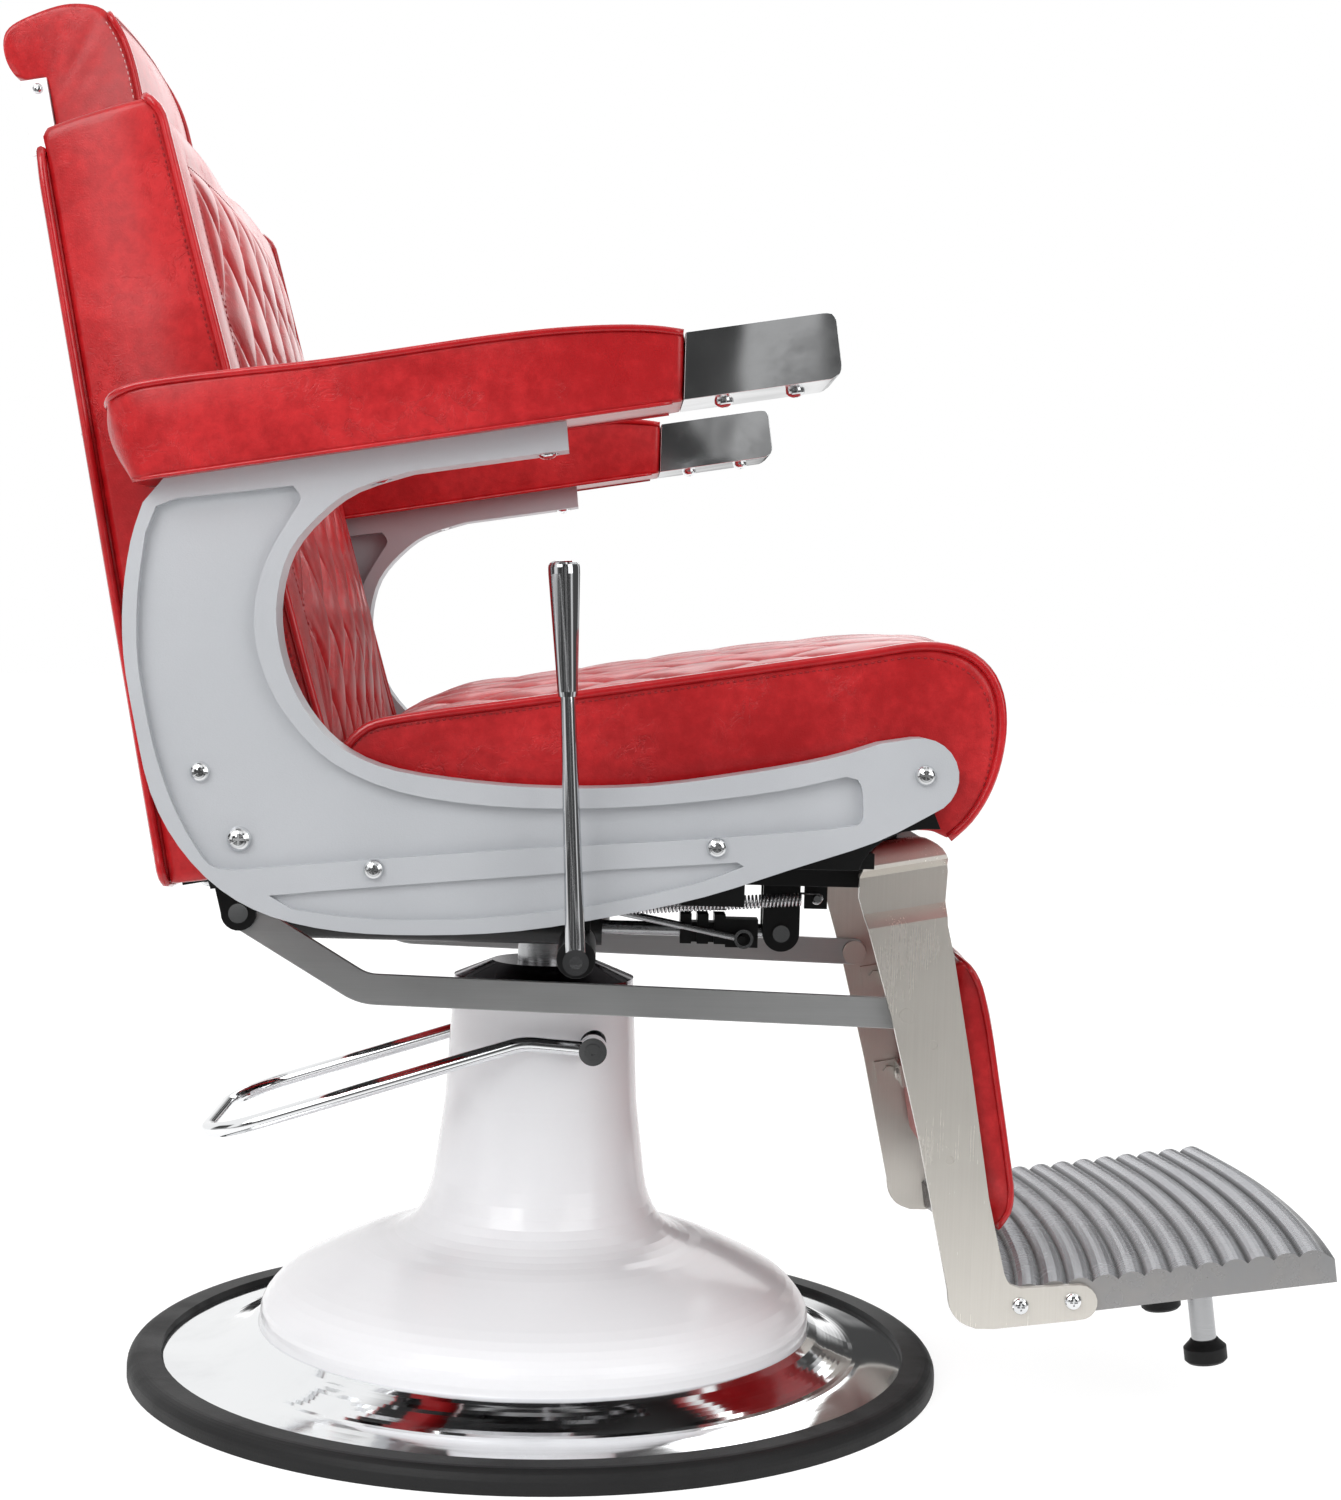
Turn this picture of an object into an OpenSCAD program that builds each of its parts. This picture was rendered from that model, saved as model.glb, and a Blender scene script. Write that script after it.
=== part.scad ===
// Hydraulic barber chair: pump base, swivelling seat, reclining back, linked leg rest.
// Origin at the centre of the base on the floor, +Z up, +X towards the footplate.
// The drawings of the seat, back and leg rest are side views in X and Z, made for a
// swivel hub whose underside is drawn_hub_z above the floor.

/* [Base] */
// Diameter of the rubber base ring
base_d = 600; // [560:10:660]
// Height of the rubber ring
ring_h = 16; // [13:1:20]
// Width of the rubber ring
ring_w = 24; // [18:1:32]
// Thickness of the steel base plate
plate_t = 8; // [6:1:10]
// Sheet thickness of the polished base disc
disc_t = 3; // [2:0.5:4]
// Height of the base disc under the pedestal's foot
disc_z = 33; // [28:1:40]
// Diameter of the pedestal's foot
bell_d = 408; // [370:4:440]
// Sheet thickness of the pedestal cover
bell_t = 3; // [2:0.5:4]
// Diameter of the pedestal's column near the top
column_d = 138; // [130:2:150]
// Height of the column's top edge above the floor
column_z = 289; // [275:1:320]
// Height of the cap on the column
cap_h = 14; // [10:1:20]
// Diameter of the cap's flat top
cap_top_d = 78; // [70:2:90]

/* [Pump] */
// Diameter of the lift piston
piston_d = 40; // [36:1:46]
// Height that the piston can lift the seat
lift_travel = 150; // [100:10:160]
// Wall of the pump cylinder
cylinder_t = 10; // [7:1:10]
// Diameter of the pump lever's shaft
pump_shaft_d = 12; // [10:1:13]
// Diameter of the pump lever's round bar
pump_bar_d = 11; // [9:1:13]
// Distance between the pump lever's two arms, centre to centre
pump_arm_w = 176; // [170:2:190]
// Reach of the pump lever behind the column's axis
pump_reach = 246; // [220:2:250]
// Height of the pump lever's shaft
pump_z = 250; // [235:1:255]
// Throw of the crank on the pump shaft
crank_throw = 16; // [14:1:17]

/* [Side frames] */
// Width over the two side frames
frame_w = 640; // [600:10:700]
// Thickness of a side frame
frame_t = 32; // [26:1:38]
// Depth of the side frame's large recess
recess_depth = 7; // [4:1:10]
// Wall left between the outer recess and the hollow inner side
web_t = 9; // [6:1:12]
// Diameter of the dome heads on the side frames
dome_d = 13; // [11:1:16]

/* [Seat] */
// Gap between a side frame and the seat cushion
cushion_gap = 8; // [6:1:12]
// Thickness of the seat board
board_t = 15; // [10:1:18]
// Crown of the seat cushion at its middle
seat_crown = 12; // [6:1:20]
// How far the seat's front bows out at its middle
seat_bow = 30; // [10:2:40]
// Depth of the stitched lines in the quilting
quilt_depth = 5; // [2:0.5:8]
// Rows of diamonds across the seat and the back
quilt_cols = 16; // [12:2:20]

/* [Armrests] */
// Width of an arm pad
arm_w = 78; // [66:2:90]
// Thickness of the board inside an arm pad
arm_board_t = 12; // [9:1:14]
// Wall of the chrome arm cap
arm_cap_t = 3; // [2:0.5:4]

/* [Back] */
// Lean of the back at rest, in degrees from upright
back_tilt = 10.7; // [8:0.1:13]
// Gap between the back's side and a side frame
back_gap = 26; // [22:1:34]
// Thickness of the rear panel
panel_t = 10; // [6:1:12]
// Thickness of the board in the back
back_board_t = 12; // [9:1:15]
// Crown of the back cushion at its middle
back_crown = 18; // [8:1:24]
// Diameter of the back's pivot bolts
back_bolt_d = 12; // [10:1:16]

/* [Headrest] */
// Width of the headrest
headrest_w = 216; // [180:4:300]
// Height that the headrest can slide up
headrest_travel = 90; // [60:5:110]
// Width of the headrest's flat steel bar
headrest_bar_w = 50; // [36:2:70]
// Thickness of the headrest's bar
headrest_bar_t = 5; // [4:0.5:6]

/* [Leg rest] */
// Width of the footplate between the legs
footplate_w = 352; // [330:2:370]
// Length of the footplate
footplate_l = 225; // [200:5:250]
// Thickness of the footplate under its ribs
footplate_t = 20; // [18:1:24]
// Height of the footplate's ribs
rib_h = 4; // [2:0.5:6]
// Distance between the footplate's ribs
rib_pitch = 17; // [14:0.5:24]
// Thickness of a leg's steel strip
leg_t = 6; // [5:0.5:8]
// Diameter of the leg's pivot bolts
leg_bolt_d = 12; // [10:1:14]
// Thickness of a link bar
link_t = 5; // [4:0.5:6]
// Height of a link bar
link_h = 21; // [18:1:24]
// Diameter of the pins in the link bars
link_pin_d = 10; // [8:1:12]
// Diameter of the bumper posts
post_d = 18; // [14:1:22]
// Diameter of the rubber bumper feet
foot_d = 31; // [26:1:36]

/* [Recline lock] */
// Outer diameter of the lock cylinder
lock_d = 26; // [22:1:28]
// Diameter of the lock rod
lock_rod_d = 10; // [8:1:12]
// Diameter of the recline lever's shaft
lever_shaft_d = 14; // [11:1:14]
// Outer diameter of the return spring
spring_d = 10; // [8:0.5:11]
// Wire diameter of the return spring
spring_wire_d = 1.6; // [1.2:0.1:1.8]

/* [Hidden] */
$fn = 64;

// Clearances: a running fit in radius, parts that pass each other, and cushions
run = 0.05;
pass = 0.4;
soft = 0.4;
cut = 1; // how far a cutter runs past the face that it cuts

// Height of the hub's underside in the side view, and as built
drawn_hub_z = 330;
hub_gap = 27;
hub_z = column_z + cap_h + hub_gap;
rise = hub_z - drawn_hub_z;

// Widths, from the middle plane outwards
frame_out = frame_w/2;
frame_in = frame_out - frame_t;
cushion_y = frame_in - cushion_gap;
back_y = frame_in - back_gap;
arm_y = frame_out - frame_t/2;
leg_in = footplate_w/2;
leg_out = leg_in + leg_t;
leg_recess = 9; // how far the leg steps inwards below its head
bar_inset = 27.6; // from the leg's inner face to the side bar
link_gap = 2;
link_out = leg_in - link_gap;
link_in = link_out - link_t;
ear_t = 4;
side_bar_t = 8;
side_bar_out = leg_in - bar_inset - pass;
side_bar_in = side_bar_out - side_bar_t;
side_plate_t = 6;

// Pivots in the side view
back_pivot = [-184, 413];
rear_pin = [-203, 352];
front_pin = [250, 294];
leg_pivot = [245, 388];
lever_pivot = [26, 347];
lock_pin = [168, 340];
// The lock, its release rod and the return spring lie beside the right side bar
lock_y = -(side_bar_in - 40);
release_y = -(side_bar_in - 22);
spring_y = -(side_bar_in - 9);

// Heights in the side view
deck_z = 411; // top of the under frame, and underside of the seat board
deck_t = 10;
rail_h = 20;
keel_z = 352; // underside of the under frame's keel plate
keel_t = 8;
keel_y = 82;
front_rail_x = 111;
rear_rail_x = -100;
rail_l = 40;
hub_r = 40;
hub_top = keel_z + keel_t + 6;

// ---------- curves ----------

function unit(v) = v/norm(v);
function arc(c, r, from, to, steps) =
    [for (i = [0:steps]) c + r*[cos(from + (to - from)*i/steps), sin(from + (to - from)*i/steps)]];
// A smooth run through hand-chosen points, steps pieces between each two of them
function run_at(p, i) = p[max(0, min(len(p) - 1, i))];
function smooth(p, steps = 4) = concat(
    [for (i = [0:len(p) - 2]) for (s = [0:steps - 1]) let (
        t = s/steps, a = run_at(p, i - 1), b = p[i], c = p[i + 1], d = run_at(p, i + 2))
        0.5*(2*b + (c - a)*t + (2*a - 5*b + 4*c - d)*t*t + (3*b - a - 3*c + d)*t*t*t)],
    [p[len(p) - 1]]);
function normal_at(p, i) = let (d = unit(run_at(p, i + 1) - run_at(p, i - 1))) [-d.y, d.x];
function offset_run(p, by) = [for (i = [0:len(p) - 1]) p[i] + by*normal_at(p, i)];
function reversed(p) = [for (i = [len(p) - 1:-1:0]) p[i]];
function flat(lists) = [for (l = lists) for (v = l) v];

// ---------- shared shapes ----------

module seat_level() translate([0, 0, rise]) children();
module mirrored() mirror([0, 1, 0]) children();
module both() { children(); mirrored() children(); }
// A side-view outline made into a slab from y1 to y2
module slab(points, y1, y2) translate([0, y2, 0]) rotate([90, 0, 0])
    linear_extrude(y2 - y1) polygon(points);
// A round bar across the chair at p in the side view
module cross_bar(p, r, y1, y2) translate([p.x, y1, p.y]) rotate([-90, 0, 0])
    cylinder(r = r, h = y2 - y1);
module block(x1, x2, y1, y2, z1, z2) translate([x1, y1, z1]) cube([x2 - x1, y2 - y1, z2 - z1]);
module straight(a, b, d) {
    v = b - a;
    translate(a) rotate([0, acos(v.z/norm(v)), atan2(v.y, v.x)]) cylinder(d = d, h = norm(v));
}
module corner(a, p, b, d, r) {
    u = unit(p - a);
    w = unit(b - p);
    turn = acos(u*w);
    n = unit(cross(u, w));
    c = p + unit(w - u)*r/cos(turn/2);
    e = unit(p - u*r*tan(turn/2) - c);
    t = cross(n, e);
    multmatrix([[e.x, t.x, n.x, c.x], [e.y, t.y, n.y, c.y], [e.z, t.z, n.z, c.z], [0, 0, 0, 1]])
        rotate_extrude(angle = turn) translate([r, 0]) circle(d = d);
}
function trim(a, p, b, r) = r*tan(acos(unit(p - a)*unit(b - p))/2);
// A round bar through the path's points, with a bend of radius r at each inner point.
// The bends are a hair thicker than the straights, whose ends lie inside them.
bend_swell = 0.04;
bend_lap = 0.8;
module bent_bar(path, d, r) {
    last = len(path) - 1;
    for (i = [0:last - 1]) {
        way = unit(path[i + 1] - path[i]);
        from = i == 0 ? path[i]
            : path[i] + way*(trim(path[i - 1], path[i], path[i + 1], r) - bend_lap);
        to = i == last - 1 ? path[i + 1]
            : path[i + 1] - way*(trim(path[i], path[i + 1], path[i + 2], r) - bend_lap);
        straight(from, to, d);
    }
    for (i = [1:last - 1]) corner(path[i - 1], path[i], path[i + 1], d + bend_swell, r);
}
// A dome-headed screw whose head sits on z = 0 and whose shank runs down
module dome_screw(head_d, shank_d, length) {
    head_h = head_d*0.38;
    difference() {
        union() {
            rotate_extrude() polygon(concat([[0, 0], [head_d/2, 0], [head_d/2, 0.8]],
                [for (a = [20:14:90]) [head_d/2*cos(a), 0.8 + (head_h - 0.8)*sin(a)]],
                [[0, head_h]]));
            translate([0, 0, -length]) cylinder(d = shank_d, h = length);
        }
        for (a = [0, 90]) rotate([0, 0, a])
            translate([-head_d*0.22, -head_d*0.05, head_h - 1.8])
                cube([head_d*0.44, head_d*0.1, 2]);
    }
}

// ---------- padded forms ----------

// One rib of a cushion: the outer chain at y pushed out by lift, then the inner chain back.
function rib(outer, inner, y, inner_y, lift, bow) = concat(
    [for (i = [0:len(outer) - 1]) let (q = outer[i] + normal_at(outer, i)*lift[i])
        [q.x + bow[i], y, q.y]],
    [for (p = reversed(inner)) [p.x, inner_y, p.y]]);
// Ribs from one side to the other. The first and last are the drawn-in sides, the next ones
// the seams, which stand out by draw, and the rest carry the crown and the quilting.
function pad_ribs(outer, inner, half, cols, draw, crown, quilt, bow) = [for (k = [0:cols]) let (
    side = sign(k - cols/2), edge = k == 0 || k == cols, seam = k == 1 || k == cols - 1,
    y = edge ? (half - draw)*side : half*(2*(k - 1)/(cols - 2) - 1),
    t = abs(y)/half, round = 1 - pow(t, 3))
    rib(outer, inner, y, seam ? (half - 2*draw)*side : y,
        [for (i = [0:len(outer) - 1]) edge ? -draw : crown[i]*round
            + (seam ? 0 : quilt[i]*((i + k)%2 == 0 ? -1 : 1)/2)],
        [for (i = [0:len(outer) - 1]) bow[i]*(1 - t*t)])];
module pad_skin(ribs) {
    m = len(ribs[0]);
    last = len(ribs) - 1;
    n = m/2;
    polyhedron(flat(ribs), concat(
        flat([for (k = [0:last - 1]) for (j = [0:m - 1]) let (
            a = k*m + j, b = k*m + (j + 1)%m, c = (k + 1)*m + (j + 1)%m, d = (k + 1)*m + j)
            (j + k)%2 == 0 ? [[a, c, b], [a, d, c]] : [[a, d, b], [b, d, c]]]),
        flat([for (i = [0:n - 2]) [[i, m - 2 - i, m - 1 - i], [i, i + 1, m - 2 - i]]]),
        flat([for (i = [0:n - 2]) let (o = last*m)
            [[o + i, o + m - 1 - i, o + m - 2 - i], [o + i, o + m - 2 - i, o + i + 1]]])),
        convexity = 6);
}
// Points spread evenly from a to b, as many as the outer chain has
function level(a, b, count) = [for (i = [0:count - 1]) a + (b - a)*i/(count - 1)];
function between(v, a, b) = v >= a && v <= b;

// ---------- base ----------

base_r = base_d/2;
plate_r = base_r - ring_w;
bell_r = bell_d/2;
column_r = column_d/2;
cylinder_r = piston_d/2 + cylinder_t;
flange_r = 70;
flange_t = 12;
cap_plug_h = 10;
bolt_ring_r = 56;
pump_x = cylinder_r + pump_shaft_d/2 + 2;

module base_ring() color("#2b2b2d") rotate_extrude($fn = 128)
    polygon(concat([[plate_r, 0], [base_r, 0], [base_r, ring_h*0.4]],
        arc([base_r - ring_h*0.6, ring_h*0.4], ring_h*0.6, 15, 90, 5), [[plate_r, ring_h]]));

module base_plate() color("#55565a") difference() {
    cylinder(r = plate_r, h = plate_t, $fn = 128);
    for (a = [45:90:315]) rotate(a) translate([bolt_ring_r, 0, plate_t - 6])
        cylinder(d = 10, h = 6 + cut);
}

module base_disc() {
    top = concat([[plate_r, plate_t], [plate_r, ring_h - 5]],
        smooth([[plate_r - 2, ring_h - 4], [250, 15.5], [236, 18], [222, 24], [212, 30]]),
        [[206, disc_z], [190, disc_z]]);
    low = offset_run(top, disc_t);
    color("#d9dadc") rotate_extrude($fn = 128) intersection() {
        polygon(concat(top, [[190, disc_z - disc_t]], reversed([for (i = [2:len(low) - 3]) low[i]]),
            [[plate_r - disc_t, plate_t]]));
        translate([0, plate_t]) square([plate_r, disc_z]);
    }
}

// The pedestal's outer line from its foot to the column's top
bell_line = concat(smooth([[bell_r, disc_z], [bell_r + 0.5, disc_z + 9], [bell_r - 3, disc_z + 19],
    [bell_r - 16, disc_z + 33], [bell_r - 42, disc_z + 47], [132, 93], [107, 100], [91, 112],
    [81, 133], [76, 165], [column_r + 2.6, 200]], 3), [[column_r - 2, column_z]]);

module pedestal_cover() color("#f4f4f5") difference() {
    rotate_extrude($fn = 128) polygon(concat(bell_line, reversed(offset_run(bell_line, bell_t))));
    cross_bar([pump_x, pump_z], pump_shaft_d/2 + 3.5, -column_r - 20, column_r + 20);
}

module column_cap() color("#3c3a3d") {
    rim_r = column_r - 2;
    plug_r = rim_r - bell_t - 0.3;
    bore_r = piston_d/2 + pass;
    rotate_extrude() polygon([[bore_r, column_z], [plug_r - 8, column_z],
        [plug_r - 8, column_z - cap_plug_h], [plug_r, column_z - cap_plug_h], [plug_r, column_z],
        [rim_r, column_z], [rim_r, column_z + 2.5], [cap_top_d/2, column_z + cap_h],
        [bore_r, column_z + cap_h]]);
}

guide_z = 168; // underside of the plunger's guide
guide_h = 30;
plunger_d = 10;
pump_lug_y = 26;
pump_lug_t = 12;
plunger_x = pump_x + crank_throw;

module pump_cylinder() color("#6d6f73") difference() {
    union() {
        translate([0, 0, plate_t]) cylinder(r = flange_r, h = flange_t);
        translate([0, 0, plate_t]) cylinder(r = cylinder_r, h = column_z - plate_t);
        both() {
            cross_bar([pump_x, pump_z], pump_shaft_d/2 + 5, pump_lug_y - pump_lug_t, pump_lug_y);
            block(0, pump_x, pump_lug_y - pump_lug_t, pump_lug_y - 2, pump_z - 9, pump_z + 9);
        }
        translate([plunger_x, 0, guide_z]) cylinder(d = plunger_d + 8, h = guide_h);
        block(0, plunger_x - 4, -7, 7, guide_z, guide_z + guide_h);
    }
    translate([0, 0, plate_t + 4]) cylinder(r = piston_d/2 + run, h = column_z);
    translate([plunger_x, 0, guide_z - cut]) cylinder(d = plunger_d + 2*run, h = guide_h + 2*cut);
    cross_bar([pump_x, pump_z], pump_shaft_d/2 + run, -pump_lug_y - cut, pump_lug_y + cut);
    for (a = [45:90:315]) rotate(a) translate([bolt_ring_r, 0, plate_t - cut])
        cylinder(d = 10, h = flange_t + 2*cut);
}

module base_bolts() color("#8f9196") for (a = [45:90:315]) rotate(a)
    translate([bolt_ring_r, 0, plate_t - 6]) {
        cylinder(d = 9.9, h = flange_t + 6);
        translate([0, 0, flange_t + 6]) cylinder(d = 17, h = 6.4, $fn = 6);
    }

// ---------- pump lever ----------

pump_arm_y = pump_arm_w/2;
hub_w = 17;
hub_in = pump_arm_y - hub_w/2;
hub_out = pump_arm_y + hub_w/2;
pump_rod_end = [-pump_reach + pump_bar_d/2, pump_z - 70];
crank_pin_d = 6;

module pump_shaft() color("#8d8f94") {
    cross_bar([pump_x, pump_z], pump_shaft_d/2, -hub_out + 3, hub_out - 3);
    block(pump_x, plunger_x, -5, 5, pump_z - 3.5, pump_z + 3.5);
    cross_bar([plunger_x, pump_z], crank_pin_d/2, -10, 10);
}

module pump_lever() color("#d4d6d9") {
    bend = [pump_x - 50, pump_z + 4];
    both() difference() {
        cross_bar([pump_x, pump_z], pump_shaft_d/2 + 4, hub_in, hub_out);
        cross_bar([pump_x, pump_z], pump_shaft_d/2 + run, hub_in - cut, hub_out + cut);
    }
    difference() {
        bent_bar([[pump_x - pump_shaft_d/2 - 1, pump_arm_y, pump_z + 1],
            [bend.x, pump_arm_y, bend.y], [pump_rod_end.x, pump_arm_y, pump_rod_end.y],
            [pump_rod_end.x, -pump_arm_y, pump_rod_end.y], [bend.x, -pump_arm_y, bend.y],
            [pump_x - pump_shaft_d/2 - 1, -pump_arm_y, pump_z + 1]], pump_bar_d, 44);
        cross_bar([pump_x, pump_z], pump_shaft_d/2 + 0.5, -hub_out, hub_out);
    }
}

module pump_screws() color("#6f7175") both() difference() {
    cross_bar([pump_x, pump_z], pump_shaft_d/2 - 0.2, hub_out - 3, hub_out + 1);
    cross_bar([pump_x, pump_z], 2.6, hub_out - 1.5, hub_out + 2, $fn = 6);
}

module pump_plunger() color("#a8aaae") difference() {
    union() {
        translate([plunger_x, 0, guide_z - 20]) cylinder(d = plunger_d, h = pump_z - guide_z + 8);
        for (s = [-1, 1]) block(plunger_x - 6.3, plunger_x + 6.3, s*8 - 2, s*8 + 2, pump_z - 12,
            pump_z + 8);
        block(plunger_x - 6.3, plunger_x + 6.3, -10, 10, pump_z - 16, pump_z - 12);
    }
    for (s = [-1, 1]) cross_bar([plunger_x - 0.5, pump_z], crank_pin_d/2 + 0.9, s*8 - 3, s*8 + 3);
}

// ---------- lift and swivel ----------

collar_r = piston_d/2 + 6;
collar_t = 6;

// Length of the piston that stays in the cylinder at full lift
piston_stays = 94;
piston_low = column_z - piston_stays - lift_travel;

module piston() color("#a9abae") {
    translate([0, 0, piston_low])
        cylinder(d = piston_d, h = rise + hub_top - 4 - pass - piston_low);
    translate([0, 0, hub_z - pass - collar_t]) cylinder(r = collar_r, h = collar_t);
}

module swivel_hub() seat_level() color("#1d1d1f") difference() {
    union() {
        translate([0, 0, drawn_hub_z]) cylinder(r = hub_r + 8, h = keel_z - drawn_hub_z);
        translate([0, 0, drawn_hub_z]) cylinder(r = hub_r, h = hub_top - drawn_hub_z);
    }
    translate([0, 0, drawn_hub_z - cut])
        cylinder(r = piston_d/2 + run, h = hub_top - 4 - drawn_hub_z + cut);
}

// ---------- under frame ----------

notch_in = side_bar_in - 8;
notch_rear = leg_pivot.x - 31;
deck_front = 264;
board_front_x = 246;
bearing_r = lever_shaft_d/2 + 5;
bearing_out = frame_out + 20;

// The front corners of the deck and of the seat board stay open for the legs' heads
module leg_corners() both() block(notch_rear, deck_front + 10, notch_in, frame_in, 0, 600);
// The steel wall beside the cushion, which holds the side frame's front screw
wall_outline = concat([[91, deck_z - deck_t], [203, deck_z - deck_t], [205, 407], [210, 414],
    [217, 420], [229, 426], [243, 428.5], [254, 428.5], [250, 438]], arc([236, 463], 15, -40, 90, 6),
    [[180, 460], [131, 448], [91, 439]]);
wall_t = 3;

module under_frame() seat_level() color("#19191b") difference() {
    union() {
        block(rear_rail_x - rail_l/2, front_rail_x + rail_l/2, -keel_y, keel_y,
            keel_z, keel_z + keel_t);
        for (x = [rear_rail_x, front_rail_x]) {
            block(x - rail_l/2, x + rail_l/2, -frame_in, frame_in, deck_z - rail_h, deck_z);
            block(x - rail_l/2, x + rail_l/2, -keel_y, keel_y, keel_z + keel_t,
                deck_z - rail_h);
            both() block(x - rail_l/2, x + rail_l/2, frame_in - side_plate_t, frame_in,
                deck_z - 35, deck_z + 13);
        }
        difference() {
            block(front_rail_x, deck_front, -cushion_y + 4, cushion_y - 4, deck_z - deck_t, deck_z);
            leg_corners();
        }
        both() slab(wall_outline, frame_in - wall_t, frame_in);
        both() {
            block(rear_rail_x, leg_pivot.x, side_bar_in, side_bar_out, deck_z - 34, deck_z);
            cross_bar(leg_pivot, 18, side_bar_in, side_bar_out);
        }
        // Bearing of the recline lever, the lock cylinder's lug and the spring's tab
        mirrored() {
            cross_bar(lever_pivot, bearing_r, frame_in - 30, bearing_out);
            block(lever_pivot.x - 8, lever_pivot.x + 8, frame_in - 30, frame_in - 6,
                lever_pivot.y, deck_z);
            block(rear_rail_x, front_rail_x, frame_in - 30, frame_in - 6, deck_z - 8, deck_z);
        }
        for (y = [lock_y - 14, lock_y + 8]) {
            block(lock_pin.x - 13, lock_pin.x + 13, y, y + 6, lock_pin.y, deck_z);
            cross_bar(lock_pin, 13, y, y + 6);
        }
        block(spring_tab.x - 8, spring_tab.x + 8, spring_y + 7, spring_y + 11,
            spring_tab.y - 8, deck_z);
    }
    translate([0, 0, keel_z - cut]) cylinder(r = hub_r + 0.05, h = 60);
    cross_bar(lever_pivot, lever_shaft_d/2 + run, -bearing_out - cut, -frame_in + 40);
    both() cross_bar(leg_pivot, leg_bolt_d/2 + 0.02, side_bar_in - cut, side_bar_out + cut);
    cross_bar(lock_pin, lock_pin_d/2 + 0.02, lock_y - 20, lock_y + 20);
    cross_bar(spring_tab, spring_pin_d/2, spring_y + 6, spring_y + 12);
    both() for (p = concat(frame_bolts, [lobe_bolt]))
        cross_bar(p, frame_bolt_d/2 + 0.1, frame_in - 20, frame_in + cut);
}

frame_bolt_d = 8;
frame_bolts = [[-100, 397], [111, 416]];
lobe_bolt = [239, 464];
lock_pin_d = 12;
spring_tab = [191, 367];
spring_pin_d = 5;

board_rear = -122;

module seat_board() seat_level() color("#b98d5a") difference() {
    block(board_rear, board_front_x, -cushion_y + 18, cushion_y - 18, deck_z, deck_z + board_t);
    leg_corners();
}

seat_low_z = deck_z + board_t + soft;
seat_chain = concat([[-127, seat_low_z + 8], [-130, 446], [-121, 472]],
    [for (i = [0:17]) [-100 + 20*i, 486 + 0.171*(20*i)]],
    [[268, 540], [286, 524], [292, 500], [290, 474], [283, 452], [272, 434], [259, 422.5]]);
seat_top_from = 3;
seat_top_to = 20;

module seat_cushion() seat_level() color("#c1272d") {
    last = len(seat_chain) - 1;
    pad_skin(pad_ribs(seat_chain, level([-122, seat_low_z], [board_front_x + 4, seat_low_z], last + 1),
        cushion_y, quilt_cols + 4, 4,
        [for (i = [0:last]) between(i, seat_top_from, seat_top_to) ? seat_crown : 0],
        [for (i = [0:last]) between(i, seat_top_from + 1, seat_top_to - 1) ? quilt_depth : 0],
        [for (i = [0:last]) i > seat_top_to - 5 && i < last ? seat_bow*min(1, (i - seat_top_to + 5)/6)
            : 0]));
}

// ---------- side frames ----------

lobe = [236, 463];
lobe_r = 24;
arm_rear = [-233, 634];
arm_front = [11, 676];
arm_slope = atan2(arm_front.y - arm_rear.y, arm_front.x - arm_rear.x);
frame_outline = concat([[13, 658]],
    smooth([[-83, 642], [-117, 630], [-139, 613], [-156, 591], [-163, 564], [-162, 538], [-154, 511],
        [-139, 487], [-118, 469], [-88, 458], [-40, 452], [10, 450], [70, 453], [133, 463],
        [180, 473], [211, 483]], 3),
    arc(lobe, lobe_r, 100, -52, 10),
    smooth([[242, 439], [210, 422], [159, 404], [104, 385], [50, 372], [-10, 361], [-68, 357],
        [-120, 358], [-162, 366], [-194, 382], [-220, 408], [-238, 441], [-249, 486], [-256, 525],
        [-257, 560], [-253, 594], [-246, 618]], 3),
    [arm_rear, arm_front]);
recess_outline = concat(
    smooth([[-155, 631], [-150, 623], [-157, 610], [-171, 583], [-177, 550], [-171, 518],
        [-155, 489], [-127, 462], [-85, 445], [-30, 438], [30, 438], [90, 443], [149, 452],
        [190, 462]], 3),
    smooth([[197, 460], [200, 454], [201, 437], [198, 432]], 3),
    smooth([[181, 429], [134, 424], [80, 419], [0, 412.5], [-60, 407], [-130, 400], [-186, 394]], 2),
    smooth([[-196, 395], [-205, 401], [-222, 429], [-235, 463], [-244, 501], [-248, 530],
        [-248, 565], [-244, 600]], 3),
    smooth([[-238, 616], [-226, 621]], 2));
slot_outline = concat(
    smooth([[-164, 379], [-110, 385], [-40, 392], [40, 400], [95, 404.5], [124, 407]], 3),
    smooth([[128, 404.5], [104, 395], [72, 386], [25, 376], [-37, 368], [-101, 366], [-150, 371]], 3));
slot_depth = 4;
frame_bosses = [back_pivot, [-209, 454]];
frame_holes = concat(frame_bolts, [lobe_bolt]);
bar_screws = [-106, -3]; // X of the screws that hold the arm board from below
bar_h = 16.5; // depth of the arm's bar at the spot faces for their heads
function arm_line(x) = arm_rear.y + (x - arm_rear.x)*tan(arm_slope);

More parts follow.
